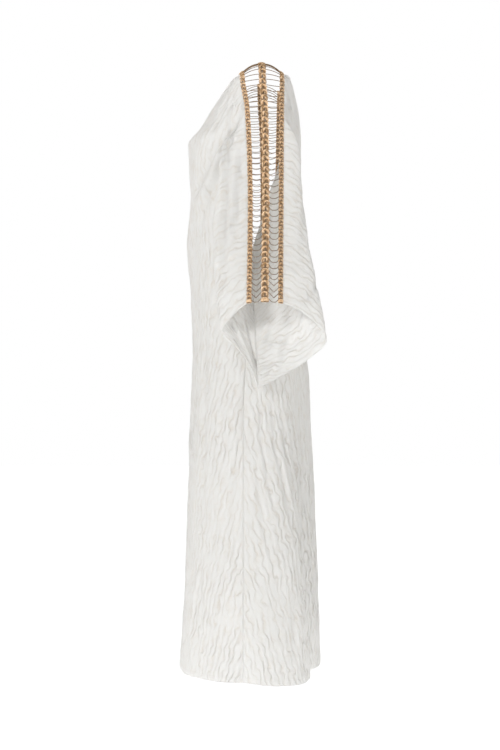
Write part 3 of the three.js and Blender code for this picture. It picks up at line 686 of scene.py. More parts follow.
CREASES: dict[Face, tuple[Crease, ...]] = {
    Face.FRONT: (
        Crease(((196, 60), (230, 140), (262, 195), (379, 240), (549, 322)), 8, -7.5, (9, 14), 0.8),
        Crease(((330, 150), (404, 188), (498, 231), (600, 274)), 9, -12, (-14, 6), 0.9),
        Crease(
            ((240, 118), (320, 178), (385, 212), (480, 254), (574, 294), (680, 322)),
            11, -13, (12, 8), 0.8,
        ),
        Crease(((270, 168), (375, 236), (470, 288), (590, 336)), 10, 9, (-10, 9), 0.9),
        Crease(((420, 290), (520, 345), (640, 372), (712, 400)), 10, -6, (-16, 12), 1.1),
        Crease(((240, 165), (195, 240), (150, 290), (100, 335)), 11, -11, (-10, 16), 0.8),
        Crease(((262, 225), (205, 300), (170, 345), (140, 410)), 11, -11, (-8, -20), 0.9),
        Crease(((262, 300), (225, 360), (200, 430), (188, 520)), 9, -6, (6, 18), 0.9),
        Crease(((250, 200), (200, 275), (165, 318), (122, 368)), 10, 8, (-9, 12), 0.8),
        Crease(((110, 80), (135, 150), (118, 230)), 8, -4.5, (8, 20), 0.8),
        Crease(((170, 60), (196, 130), (205, 190)), 8, -4.5, (-9, 8), 1.2),
        Crease(((60, 200), (70, 320), (60, 430)), 9, -3.8, (14, -20), 1.1),
        Crease(((266, 300), (246, 400), (238, 520), (246, 640)), 10, -7.5, (-6, 16), 0.9),
        Crease(((172, 600), (198, 811), (232, 978), (252, 1170)), 12, -6.8, (-20, 30), 0.8),
        Crease(((300, 640), (328, 800), (345, 1060), (338, 1330)), 12, -5.2, (-14, 40), 1.1),
        Crease(((110, 540), (130, 760), (150, 980)), 12, -4.5, (16, -40), 1.2),
        Crease(((90, 1020), (120, 1200), (170, 1400)), 13, -5.2, (20, -60), 0.9),
        Crease(((250, 1180), (236, 1300), (262, 1460)), 12, 6, (-18, -40), 0.9),
        Crease(((590, 420), (645, 468), (712, 520)), 9, -7.5, (10, -12), 0.9),
        Crease(((520, 470), (600, 525), (700, 566)), 10, 6.8, (-10, -9), 0.8),
        Crease(((712, 372), (655, 400), (600, 446)), 8, -6, (-8, 14), 1.1),
    ),
    Face.BACK: (
        Crease(((207, 760), (212, 974), (190, 1130), (169, 1290), (216, 1440)), 13, -7.5, (-14, 30), 0.8),
        Crease(((285, 780), (302, 900), (303, 1000), (292, 1110)), 5, -5.2, (-12, 20), 0.8),
        Crease(((262, 800), (271, 920), (262, 1040), (250, 1160)), 5, -5.2, (-10, -30), 0.9),
        Crease(((237, 830), (242, 960), (226, 1110)), 5, -4.5, (-12, 24), 1.1),
        Crease(((320, 930), (330, 1080), (312, 1260)), 8, -4.5, (-10, 50), 0.9),
        Crease(((110, 480), (130, 700), (118, 920)), 12, -5.2, (18, 40), 1.1),
        Crease(((60, 900), (84, 1120), (70, 1330)), 13, -6, (24, -50), 0.8),
        Crease(((262, 1240), (286, 1340), (300, 1450)), 11, -5.2, (-20, -20), 1.1),
        Crease(((200, 55), (229, 106), (258, 190), (240, 300)), 9, -6.8, (-8, 12), 0.9),
        Crease(((130, 60), (150, 180), (138, 330)), 10, -4.5, (14, -10), 1.1),
        Crease(((60, 130), (74, 260), (58, 400)), 10, -3.8, (16, 30), 1.0),
        Crease(((264, 290), (244, 400), (236, 520), (244, 640)), 10, -7.5, (-8, -10), 0.9),
        Crease(((300, 205), (420, 250), (560, 278), (640, 300)), 10, -5.2, (12, 10), 1.1),
        Crease(((330, 250), (440, 300), (580, 330)), 12, 6, (-14, 8), 0.9),
        Crease(((712, 322), (660, 345), (590, 352)), 7, -6, (-12, 10), 0.9),
        Crease(((545, 492), (592, 545), (650, 498)), 8, -9, (12, -14), 0.8),
        Crease(((600, 455), (655, 515), (712, 552)), 10, 7.5, (-8, 12), 0.9),
        Crease(((540, 430), (620, 424), (712, 436)), 9, -6.8, (10, 14), 1.1),
        Crease(((650, 590), (676, 560), (708, 596)), 7, 6, (-6, -10), 1.0),
    ),
}


class Ripple(NamedTuple):
    """Seeded noise on the flat cloth: its size, and its patches across and along."""

    size: float
    across: float
    along: float

    def at(self, seed: int, cut: Array, down: Array) -> Array:
        """The ripple's value at points of the flat cloth."""
        return self.size * SmoothNoise(seed)(cut / self.across, down / self.along)


@dataclass(frozen=True)
class Crinkle:
    """The cloth's crinkle: wandering ribs, broad on top, that pinch into lumps.

    "heights", "bulges", "lean" and "chest_lean" are tables by height: how high
    the ribs stand on the body, how far slow bulges move the cloth, and how far
    the ribs lean away from the centre line on the skirt and across the chest.
    "broad" multiplies the height of the skirt's ribs by the column. "level" is
    the share of the ribs' height at which calmed cloth lies.
    """

    WANDER = Ripple(5.0, 60, 70)
    SHIVER = Ripple(2.6, 22, 26)
    DRIFT = Ripple(14.0, 40, 80)
    SWELL = Ripple(0.45, 95, 130)
    FLECK = Ripple(0.14, 7.5, 16)
    BULGE = Ripple(1.0, 36, 54)
    LEAN_START = 80.0
    SLEEVE_CUTS = (170, 300)
    BELOW_SLEEVE = (450, 720)
    SKIRT_TOP = (800, 1050)
    TURN_STEP = 0.618
    RIB_POWER = 2.6
    LUMP_POWER = 0.6

    pitch: float = 15.0
    lump_length: float = 58.0
    pinch: float = 0.55
    seed: int = 7
    heights: SmoothTable = SmoothTable((0, 1.0), (300, 1.1), (600, 1.3), (1100, 1.6), (1500, 1.9))
    sleeve_height: float = 1.3
    level: float = 0.45
    bulges: SmoothTable = SmoothTable((0, 2.4), (450, 2.6), (700, 1.6), (1500, 1.4))
    lean: SmoothTable = SmoothTable((450, 0), (700, 6), (900, 28), (1200, 70), (1500, 112))
    chest_lean: SmoothTable = SmoothTable((90, 0), (200, 32), (330, 72), (460, 92), (620, 96))
    broad: SmoothTable = SmoothTable((0, 1.0), (500, 1.0))

    def flow(self, cut: Array, down: Array) -> tuple[Array, Array]:
        """Rib numbers and lump numbers at points of the flat cloth, as the ribs wander.

        Args:
            cut: Signed columns, above 0 on the wearer's left.
            down: Distances down the columns.

        Returns:
            The place across the ribs, whole at each crest, and along them,
            where each whole step is one lump.
        """
        to_sleeve = smoothstep(np.abs(cut), *self.SLEEVE_CUTS)
        on_body = 1.0 - to_sleeve * (1.0 - smoothstep(down, *self.BELOW_SLEEVE))
        lean = self.lean(down) + self.chest_lean(down) * on_body
        across = cut + lean * np.tanh(cut / self.LEAN_START)
        across += self.WANDER.at(self.seed, cut, down) + self.SHIVER.at(self.seed + 1, cut, down)
        along = down + self.DRIFT.at(self.seed + 2, cut, down)
        return across / self.pitch, along / self.lump_length

    def profile(self, ribs: Array, lumps: Array) -> Array:
        """Height of the ribs, from 0 in a groove to 1 on top of a lump.

        Args:
            ribs: Places across the ribs, whole at each crest.
            lumps: Places along the ribs, where each whole step is one lump.

        Returns:
            The height at each point.
        """
        number = np.round(ribs)
        rib = 1.0 - (2.0 * np.abs(ribs - number)) ** self.RIB_POWER
        turn = lumps + np.mod(self.TURN_STEP * number, 1.0)
        neck = 1.0 - np.abs(np.sin(math.pi * turn)) ** self.LUMP_POWER
        return rib * (1.0 - self.pinch * neck)

    def height(self, cut: Array, down: Array, on_sleeve: Array) -> Array:
        """Height of the ribs at points of the flat cloth, which swells and fades in patches.

        Args:
            cut: Signed columns, above 0 on the wearer's left.
            down: Distances down the columns.
            on_sleeve: 1 on a sleeve and 0 on the body.

        Returns:
            Distances along the cloth's normal.
        """
        swell = 1.0 + self.SWELL.at(self.seed + 3, cut, down)
        on_skirt = smoothstep(down, *self.SKIRT_TOP)
        swell = swell * lerp(1.0, self.broad(np.abs(cut)), on_skirt)
        return lerp(self.heights(down), self.sleeve_height, on_sleeve) * swell

    def lift(self, cut: Array, down: Array, height: Array, share: Array) -> Array:
        """How far the crinkle lifts the cloth at points of the flat cloth.

        Args:
            cut: Signed columns, above 0 on the wearer's left.
            down: Distances down the columns.
            height: Height of the ribs at each point.
            share: Share of the ribs' relief that is left at each point.

        Returns:
            Distances along the cloth's normal.
        """
        fleck = self.FLECK.at(self.seed + 4, cut, down)
        ribs = self.profile(*self.flow(cut, down)) + fleck
        slow = self.bulges(down) * self.BULGE.at(self.seed + 5, cut, down)
        return height * np.maximum(lerp(self.level, ribs, share), 0.0) + slow * share


CRINKLES = {
    Face.FRONT: Crinkle(seed=7),
    Face.BACK: Crinkle(
        seed=23,
        heights=SmoothTable((0, 1.0), (300, 1.2), (600, 1.5), (1100, 1.9), (1500, 2.2)),
        broad=SmoothTable((0, 1.0), (120, 1.2), (210, 1.8), (290, 1.2), (435, 0.8)),
    ),
}


@dataclass
class Grid:
    """One block of a panel: indices of its points by column and row."""

    index: Array

    def quads(self, flip: bool) -> Array:
        """The block's faces.

        Args:
            flip: Whether they are turned the other way round.

        Returns:
            The faces as rows of four indices.
        """
        a, b = self.index[:-1, :-1], self.index[1:, :-1]
        c, d = self.index[1:, 1:], self.index[:-1, 1:]
        corners = (a, d, c, b) if flip else (a, b, c, d)
        return np.stack([corner.ravel() for corner in corners], axis=1)


class HalfPanel:
    """The three blocks of half a panel, as points of the cloth before its crinkle.

    "TURNED" gives the distances from an edge of the rows that its turned cloth has.
    """

    CHEST_ROWS = 40
    SKIRT_ROWS = 96
    BODY_COLUMNS = 126
    SLEEVE_COLUMNS = 124
    TURNED = (4.0, 8.0, 12.0)
    SAME_CUT = 1e-6

    def __init__(self, form: GarmentForm, face: Face, side: Side) -> None:
        """Makes the half's points.

        Args:
            form: The garment's form.
            face: Which panel.
            side: Which half of it.
        """
        self.form, self.face, self.side = form, face, side
        self.shares = np.linspace(0.0, 1.0, self.BODY_COLUMNS + 1)
        self.points: list[Array] = []
        self.flat: list[Array] = []
        self.sleeve_flags: list[Array] = []
        self.count = 0
        armpit, armpit_down = self.build_chest()
        self.build_skirt()
        self.build_sleeve(armpit, armpit_down)

    def add(self, points: Array, cut: Array, down: Array, on_sleeve: float) -> Array:
        """Adds a block of points.

        Args:
            points: The points.
            cut: Their columns in the flat cloth.
            down: Their distances down the columns.
            on_sleeve: 1 for a block of the sleeve and 0 for one of the body.

        Returns:
            Their indices, in the block's own shape.
        """
        shape = points.shape[:-1]
        number = int(np.prod(shape))
        self.points.append(points.reshape(-1, 3))
        self.flat.append(np.stack([cut.ravel(), down.ravel()], axis=1))
        self.sleeve_flags.append(np.full(number, on_sleeve))
        made = np.arange(self.count, self.count + number).reshape(shape)
        self.count += number
        return made

    @property
    def turned_rows(self) -> Array:
        """Distances from the edge of the last rows of a turned hem or cuff."""
        return np.array([*self.TURNED[-2::-1], 0.0])

    @property
    def at_neck(self) -> Array:
        """Which columns of the chest start at the neckline."""
        return self.shares * self.form.underarm_cut <= self.form.trim.neck_cut

    def chest_rows(self, top: Array) -> Array:
        """Heights of the chest's rows, with the neck's turned edge.

        Args:
            top: Height at the top of each column.

        Returns:
            Heights by column and row.
        """
        turned = np.array([0.0, *self.TURNED[:2]])
        rest = np.linspace(0.0, 1.0, self.CHEST_ROWS - 1)[1:]
        first = top[:, None] + turned[None, :]
        start = first[:, -1:]
        return np.concatenate([first, start + (self.form.underarm_down - start) * rest], axis=1)

    def on_body(self, cut: Array, down: Array) -> Array:
        """Points of the body by column and row."""
        points = self.form.body(self.face, self.side, cut.ravel(), down.ravel())
        return points.reshape(*cut.shape, 3)

    def build_chest(self) -> tuple[Array, float]:
        """Makes the block from the neckline and the trim down to the underarm.

        Returns:
            The points of its last column, where the sleeve starts, and the height
            of that column's top.
        """
        form = self.form
        cut = np.repeat(self.shares[:, None] * form.underarm_cut, self.CHEST_ROWS + 1, axis=1)
        down = self.chest_rows(form.top_down(self.face, cut[:, 0]))
        points = self.on_body(cut, down)
        at_trim = np.flatnonzero(cut[:, 0] >= form.trim.neck_cut - self.SAME_CUT)
        points[at_trim, 0], _ = form.edge(self.face, form.trim.run_of(cut[at_trim, 0]))
        self.chest = Grid(self.add(points, cut, down, 0.0))
        return points[-1], down[-1, 0]

    def build_skirt(self) -> None:
        """Makes the block from the chest's last row down to the turned hem."""
        form = self.form
        hem = form.hem[self.face](self.shares)
        rows = np.linspace(0.0, 1.0, self.SKIRT_ROWS - len(self.TURNED) + 1)[1:]
        full = hem - self.TURNED[-1] - form.underarm_down
        down = form.underarm_down + full[:, None] * rows[None, :]
        down = np.concatenate([down, hem[:, None] - self.turned_rows[None, :]], axis=1)
        cut = self.shares[:, None] * form.side_cut(down)
        low = self.add(self.on_body(cut, down), cut, down, 0.0)
        self.skirt = Grid(np.concatenate([self.chest.index[:, -1:], low], axis=1))

    def build_sleeve(self, armpit: Array, armpit_down: float) -> None:
        """Makes the block from the chest's last column out to the turned cuff.

        Args:
            armpit: Points of the chest's last column.
            armpit_down: Height of that column's top.
        """
        form = self.form
        cuff = form.trim.cuff_cut
        even = np.linspace(form.underarm_cut, cuff - self.TURNED[-1], self.SLEEVE_COLUMNS - 2)
        columns = np.concatenate([even, cuff - self.turned_rows])
        line = measured(armpit)
        points = form.sleeve(self.face, columns, line / line[-1], armpit)[1:]
        cut = np.repeat(columns[1:, None], len(line), axis=1)
        rise = (cut - form.underarm_cut) * math.tan(form.trim.flat_slope)
        made = self.add(points, cut, armpit_down + rise + measured(points), 1.0)
        self.sleeve = Grid(np.concatenate([self.chest.index[-1:], made], axis=0))

    def arrays(self) -> tuple[Array, Array, Array]:
        """The points, their places in the flat cloth and their sleeve flags."""
        points, flat, flags = map(np.concatenate, (self.points, self.flat, self.sleeve_flags))
        return points, flat, flags

    def seam_normals(self, normals: Array) -> None:
        """Turns the normals on each seam to the direction that both its pieces share.

        Args:
            normals: The half's normals for the wearer's left, changed in place.
        """
        form, face = self.form, self.face
        place = form.trim.place
        chest_cut = self.shares * form.underarm_cut
        at_trim = np.flatnonzero(chest_cut >= form.trim.neck_cut - self.SAME_CUT)
        tops = self.chest.index[at_trim, 0]
        normals[tops] = place(form.trim.run_of(chest_cut[at_trim]), float(face)).normal
        points, flat, _ = self.arrays()
        tops = self.sleeve.index[:, 0]
        normals[tops] = place(form.trim.run_of(flat[tops, 0]), float(face)).normal
        for line, outward in ((self.skirt.index[-1], 1.0), (self.sleeve.index[:, -1], -1.0)):
            step = np.gradient(points[line], axis=0)
            across = unit(np.stack([-step[:, 2], 0 * step[:, 2], step[:, 0]], axis=1))
            normals[line] = across * np.sign(across[:, :1] * outward)
        normals[self.skirt.index[-1, 0]] = (0.0, 0.0, -1.0)


def vertex_normals(points: Array, quads: Array) -> Array:
    """Normals of a mesh of quads, from the faces round each point.

    Args:
        points: The mesh's points.
        quads: Its faces as rows of four indices.

    Returns:
        One normal for each point.
    """
    a, b, c, d = (points[quads[:, k]] for k in range(4))
    facets = np.cross(c - a, d - b)
    normals = np.zeros_like(points)
    for k in range(4):
        np.add.at(normals, quads[:, k], facets)
    return unit(normals)


def mesh_object(
    name: str, points: Array, faces: list[list[int]], material: bpy.types.Material
) -> bpy.types.Object:
    """A smooth-shaded mesh object at the origin.

    Args:
        name: Name of the object.
        points: Its points in metres.
        faces: Its faces as lists of indices.
        material: Its material.

    Returns:
        The object, linked to the scene.
    """
    mesh = bpy.data.meshes.new(name)
    mesh.from_pydata(points.tolist(), [], faces)
    mesh.materials.append(material)
    mesh.validate()
    mesh.update()
    made = bpy.data.objects.new(name, mesh)
    bpy.context.scene.collection.objects.link(made)
    mesh.shade_smooth()
    return made


class Calm(NamedTuple):
    """How the crinkle calms towards an edge, with its distances in millimetres."""

    left: float
    near: float
    far: float

    def share(self, distance: Array) -> Array:
        """Share of the crinkle that is left at distances from the edge."""
        return lerp(self.left, 1.0, smoothstep(distance, self.near, self.far))


@dataclass
class ClothPanel:
    """One cloth panel, front or back, cut in one with its half of both sleeves.

    "ROW_STEP" is the rough width of a sleeve's row, "FAR" is out of reach of
    every edge, and "BACK_CLOTH_OFFSET" moves the back's pattern off the front's.
    """

    AT_NECK = Calm(0.45, 4, 22)
    AT_SHOULDER = Calm(0.2, 0, 16)
    AT_SIDE_SEAM = Calm(0.0, 0, 9)
    AT_HEM = Calm(0.55, 2, 26)
    AT_SLEEVE_TRIM = Calm(0.4, 0, 12)
    AT_UNDERARM_SEAM = Calm(0.0, 0, 16)
    AT_CUFF = Calm(0.75, 2, 22)
    AT_UNDERARM = Calm(0.05, 4, 45)
    AT_SLEEVE_FOLD = Calm(0.6, 2, 16)
    TOP_ROW_SHARE = 0.6
    ROW_STEP = 9.0
    FAR = 100.0
    BACK_CLOTH_OFFSET = 2000.0

    face: Face
    form: GarmentForm
    crinkle: Crinkle
    thickness: float = 1.1
    hem_thickness: float = 2.2
    halves: dict[Side, HalfPanel] = field(init=False)
    index: dict[Side, Array] = field(init=False)
    outer: Array = field(init=False)
    normals: Array = field(init=False)

    @property
    def name(self) -> str:
        """Name of the panel's CAD node."""
        return "front" if self.face is Face.FRONT else "back"

    def calm(self, half: HalfPanel) -> Array:
        """How the crinkle calms along the seams and turned edges of half a panel.

        Args:
            half: The half panel.

        Returns:
            Share of the crinkle left at each of its points.
        """
        form, far = self.form, self.FAR
        points, flat, on_sleeve = half.arrays()
        cut, down = flat[:, 0], flat[:, 1]
        on_body = on_sleeve < 0.5

        # Top edge: the neckline, then the trim down the shoulder.
        near_top = np.where(on_body, down - form.top_down(self.face, cut), far)
        at_neck = cut < form.trim.neck_cut
        share = np.where(at_neck, self.AT_NECK.share(near_top), 1.0)
        share *= np.where(at_neck, 1.0, self.AT_SHOULDER.share(near_top))

        # Side seam and hem of the skirt.
        in_skirt = on_body & (down > form.underarm_down)
        share *= self.AT_SIDE_SEAM.share(np.where(in_skirt, form.side_cut(down) - cut, far))
        hem = form.hem[self.face](np.clip(cut / form.hem_cut, 0, 1))
        share *= np.where(on_body, self.AT_HEM.share(hem - down), 1.0)

        # Trim, underarm seam and cuff of the sleeve.
        sleeve = half.sleeve.index
        rows = np.arange(sleeve.shape[1])[None, :] * self.ROW_STEP
        for edge, distances in ((self.AT_SLEEVE_TRIM, rows), (self.AT_UNDERARM_SEAM, rows[:, ::-1])):
            away = np.full(len(points), far)
            away[sleeve] = distances
            share *= edge.share(np.where(on_body, far, away))
        share *= self.AT_CUFF.share(np.where(on_body, far, form.trim.cuff_cut - cut))

        # The point where four seams meet, and the fold from it up to the trim.
        underarm = points[half.skirt.index[-1, 0]]
        share *= self.AT_UNDERARM.share(np.linalg.norm(points - underarm, axis=1))
        below = np.where(down > form.underarm_down, far, 0.0)
        share *= self.AT_SLEEVE_FOLD.share(np.abs(cut - form.underarm_cut) + below)
        share[half.chest.index[:, 0]] *= self.TOP_ROW_SHARE
        return share

    def half_quads(self, half: HalfPanel) -> list[Array]:
        """Faces of a half panel's blocks, which point outwards on its own side."""
        flip = half.side * self.face < 0
        return [block.quads(flip) for block in (half.chest, half.skirt, half.sleeve)]

    def half_points(self, half: HalfPanel) -> tuple[Array, Array, Array]:
        """Outer points of half a panel, for its own side.

        Args:
            half: The half panel.

        Returns:
            The points, their normals, and the share and height of the ribs there.
        """
        points, flat, on_sleeve = half.arrays()
        mirror = np.array([float(half.side), 1.0, 1.0])
        mirrored = points * mirror
        normals = vertex_normals(mirrored, np.concatenate(self.half_quads(half))) * mirror
        half.seam_normals(normals)
        normals *= mirror
        centre = np.concatenate([half.chest.index[0], half.skirt.index[0]])
        normals[centre, 0] = 0.0
        normals = unit(normals)
        share = self.calm(half)
        cut = half.side * flat[:, 0]
        height = self.crinkle.height(cut, flat[:, 1], on_sleeve)
        lift = self.crinkle.lift(cut, flat[:, 1], height, share)
        for crease in CREASES[self.face]:
            lift += crease.push(half.side, flat[:, 0], flat[:, 1])
        return mirrored + normals * lift[:, None], normals, np.stack([share, height], axis=1)

    def build(self, material: bpy.types.Material) -> bpy.types.Object:
        """Makes the panel.

        Args:
            material: The cloth.

        Returns:
            The panel, riding on the body in place of its solid.
        """
        self.halves = {side: HalfPanel(self.form, self.face, side) for side in (L, R)}
        left, right = self.halves[L], self.halves[R]
        outer, normals, relief = zip(*(self.half_points(half) for half in (left, right)))

        # Both halves have the centre line's points, and the left half's are kept.
        centre = np.concatenate([right.chest.index[0], right.skirt.index[0][1:]])
        twin = np.concatenate([left.chest.index[0], left.skirt.index[0][1:]])
        outer[0][twin] = (outer[0][twin] + outer[1][centre]) / 2
        remap = np.arange(right.count) + left.count
        remap[centre] = twin
        keep = np.ones(left.count + right.count, bool)
        keep[centre + left.count] = False
        packed = np.cumsum(keep) - 1
        self.index = {L: packed[: left.count], R: packed[remap]}
        quads = np.concatenate(
            [self.index[half.side][quad] for half in (left, right) for quad in self.half_quads(half)]
        )
        self.outer = np.concatenate(outer)[keep]
        self.normals = np.concatenate(normals)[keep]
        hems = np.concatenate([self.hem_share(left), self.hem_share(right)])[keep]
        flats = np.concatenate([self.signed_flat(left), self.signed_flat(right)])[keep]
        relief = np.concatenate(relief)[keep]

        # The wall: the points again on its inside, and a rim along every open edge.
        depth = lerp(self.thickness, self.hem_thickness, hems)
        inner = self.outer - self.normals * depth[:, None]
        count = len(inner)
        edges = np.concatenate([quads[:, [k, (k + 1) % 4]] for k in range(4)])
        keys = edges[:, 0].astype(np.int64) * count + edges[:, 1]
        twins = edges[:, 1].astype(np.int64) * count + edges[:, 0]
        rim = edges[~np.isin(keys, twins)]
        rims = np.stack([rim[:, 1], rim[:, 0], rim[:, 0] + count, rim[:, 1] + count], axis=1)
        faces = np.concatenate([quads, quads[:, ::-1] + count, rims])
        both = np.concatenate([self.outer, inner]) * MM
        made = mesh_object(f"{self.name}_cloth", both, faces.tolist(), material)
        self.dress(made, np.tile(flats, (2, 1)), np.tile(relief, (2, 1)))
        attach(made, BODY)
        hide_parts(self.name)
        return made

    def hem_share(self, half: HalfPanel) -> Array:
        """Where the cloth is turned: at neck, hem and cuff.

        Args:
            half: The half panel.

        Returns:
            1 at the points of its turned edges, and 0 elsewhere.
        """
        share = np.zeros(half.count)
        turned = len(half.TURNED)
        share[half.skirt.index[:, -turned - 1 :]] = 1.0
        share[half.sleeve.index[-turned - 1 :]] = 1.0
        share[half.chest.index[half.at_neck, :turned]] = 1.0
        return share

    def signed_flat(self, half: HalfPanel) -> Array:
        """Places in the flat cloth, with the cut below 0 on the wearer's right."""
        _, flat, _ = half.arrays()
        return flat * np.array([float(half.side), 1.0])

    def dress(self, made: bpy.types.Object, flat: Array, relief: Array) -> None:
        """Writes what the finish reads: the flat cloth, and the ribs' flow, share and height.

        Args:
            made: The panel.
            flat: Places of its points in the flat cloth, in millimetres.
            relief: Share and height of the ribs at its points.
        """
        mesh = made.data
        corners = np.empty(len(mesh.loops), np.int32)
        mesh.loops.foreach_get("vertex_index", corners)
        flow = np.stack(self.crinkle.flow(flat[:, 0], flat[:, 1]), axis=1)
        flat = flat + (0.0, self.BACK_CLOTH_OFFSET if self.face is Face.BACK else 0.0)
        for name, places in (("flat_cloth", flat * MM), ("crinkle_flow", flow)):
            layer = mesh.uv_layers.new(name=name)
            layer.data.foreach_set("uv", places[corners].astype(np.float32).ravel())
        for name, values in zip(("rib_share", "rib_height"), relief.T):
            layer = mesh.attributes.new(name, "FLOAT", "POINT")
            layer.data.foreach_set("value", values.astype(np.float32))

    def line(self, side: Side, indices: Array, lift: float) -> Array:
        """Points of the outer surface at a line of indices, lifted off it."""
        at = self.index[side][indices]
        return self.outer[at] + self.normals[at] * lift


class Yarns:
    """Round yarns of one gauge, gathered as the splines of a single curve."""

    def __init__(self, name: str, radius: float, sides: int = 6) -> None:
        """Starts an empty set.

        Args:
            name: Name of the object to be.
            radius: Radius of a yarn in millimetres.
            sides: Sides of its section, an even number.
        """
        self.name, self.radius, self.sides = name, radius, sides
        self.lines: list[tuple[Array, int, Array]] = []

    def add(self, points: Array, shade: int = 0, over: Array | float = 1.0) -> None:
        """Adds a yarn.

        Args:
            points: Its line in millimetres.
            shade: Number of its material.
            over: How open it lies at each point, 0 in a gap to 1 at a face.
        """
        self.lines.append((points, shade, np.broadcast_to(over, len(points))))

    def build(self, materials: list[bpy.types.Material]) -> bpy.types.Object:
        """Makes the yarns as one mesh.

        Args:
            materials: Materials in the order of the yarns' shades.

        Returns:
            The mesh object, at the origin.
        """
        bpy.ops.object.select_all(action="DESELECT")
        bpy.ops.curve.primitive_nurbs_path_add(location=(0, 0, 0))
        made = bpy.context.active_object
        made.name = made.data.name = self.name
        curve = made.data
        curve.splines.clear()
        curve.dimensions = "3D"
        curve.bevel_depth = self.radius * MM
        curve.bevel_resolution = (self.sides - 4) // 2
        curve.use_fill_caps = True
        for material in materials:
            curve.materials.append(material)
        for points, shade, _ in self.lines:
            spline = curve.splines.new("POLY")
            spline.points.add(len(points) - 1)
            full = np.concatenate([points * MM, np.ones((len(points), 1))], axis=1)
            spline.points.foreach_set("co", full.astype(np.float32).ravel())
            spline.material_index = shade
            spline.use_smooth = True
        bpy.ops.object.convert(target="MESH")
        made = bpy.context.active_object
        made.data.name = self.name
        # How open each point lies, which the yarn finishes read to paint shade where a yarn dives.
        rings = [over[[*range(len(over)), 0, -1]] for _, _, over in self.lines]
        values = np.repeat(np.concatenate(rings), self.sides).astype(np.float32)
        height = made.data.attributes.new("over", "FLOAT", "POINT")
        height.data.foreach_set("value", values)
        return made


def on_trim(trim: TrimLine, run: Array, sideways: Array, height: Array) -> Array:
    """Points on or near the trim's surface, for the wearer's left side.

    Args:
        trim: The trim's line.
        run: Distances along it.
        sideways: Distances from its middle, above 0 towards the back.
        height: Distances above its surface.

    Returns:
        The points in millimetres.
    """
    middle = trim.place(run, 0.0)
    place = trim.place(run, sideways / middle.half)
    return place.point + place.normal * np.asarray(height)[..., None]


@dataclass(frozen=True)
class LoopChain:
    """A flat chain of yarn loops, nested about a row of eyes along its middle.

    "widths" and "lengths" are the half sizes of the loops round one eye.
    """

    SQUARENESS = 0.8
    OPEN_FROM, OPEN_TO = 0.2, 0.85

    pitch: float
    widths: tuple[float, ...]
    lengths: tuple[float, ...]
    height: float
    steps: int

    def lay(
        self, trim: TrimLine, place: Callable[[Array], Array], first: float
    ) -> list[tuple[Array, Array]]:
        """Closed loops along the trim for the wearer's left side.

        Args:
            trim: The line that the chain follows.
            place: Middle of the chain, as a distance across the trim from its
                middle, against the run.
            first: Run of the first eye.

        Returns:
            For each loop, its points in millimetres and how open it lies, from
            0 where it dives between its neighbours to 1 at the chain's side.
        """
        turn = np.linspace(0.0, 2 * math.pi, self.steps + 1)
        swing, advance = np.sin(turn), -np.cos(turn)
        lines = []
        for eye in np.arange(first - self.pitch / 2, trim.length + self.pitch / 2, self.pitch):
            for width, length in zip(self.widths, self.lengths):
                run = np.clip(eye + length * advance, 0.0, trim.length)
                bulge = np.sign(swing) * np.abs(swing) ** self.SQUARENESS
                points = on_trim(trim, run, place(run) + width * bulge, -self.height * advance)
                lines.append((points, smoothstep(np.abs(swing), self.OPEN_FROM, self.OPEN_TO)))
        return lines


@dataclass(frozen=True)
class Rungs:
    """How the rungs of one column hang, against the run.

    "fullness" is how squarely a rung hangs, "slant" how far its back end lies
    below its front end, and "low" where it hangs lowest, as a share of its span.
    """

    sag: SmoothTable
    fullness: SmoothTable
    slant: SmoothTable
    low: SmoothTable


FRONT_RUNGS = Rungs(
    sag=SmoothTable((0, -1.0), (90, 0.2), (200, 1.6), (300, 3.0), (400, 6.5), (500, 10), (640, 13)),
    fullness=SmoothTable((0, 2.0), (330, 2.0), (430, 3.4), (560, 3.4), (590, 1.15), (640, 1.05)),
    slant=SmoothTable((0, 0.0), (60, 0.0), (200, 1.5), (380, 2.0), (480, 0.0), (640, 0.0)),
    low=SmoothTable((0, 0.5), (640, 0.5)),
)
BACK_RUNGS = Rungs(
    sag=SmoothTable((0, -1.0), (70, 0.6), (200, 2.4), (300, 4.0), (400, 7.0), (500, 10), (640, 13)),
    fullness=SmoothTable((0, 2.0), (330, 1.8), (430, 3.2), (560, 3.2), (590, 1.15), (640, 1.05)),
    slant=SmoothTable((0, 0.0), (110, -1.0), (220, -5.0), (330, -6.0), (450, -2.0), (640, 0.0)),
    low=SmoothTable((0, 0.5), (150, 0.4), (300, 0.32), (450, 0.5), (640, 0.5)),
)


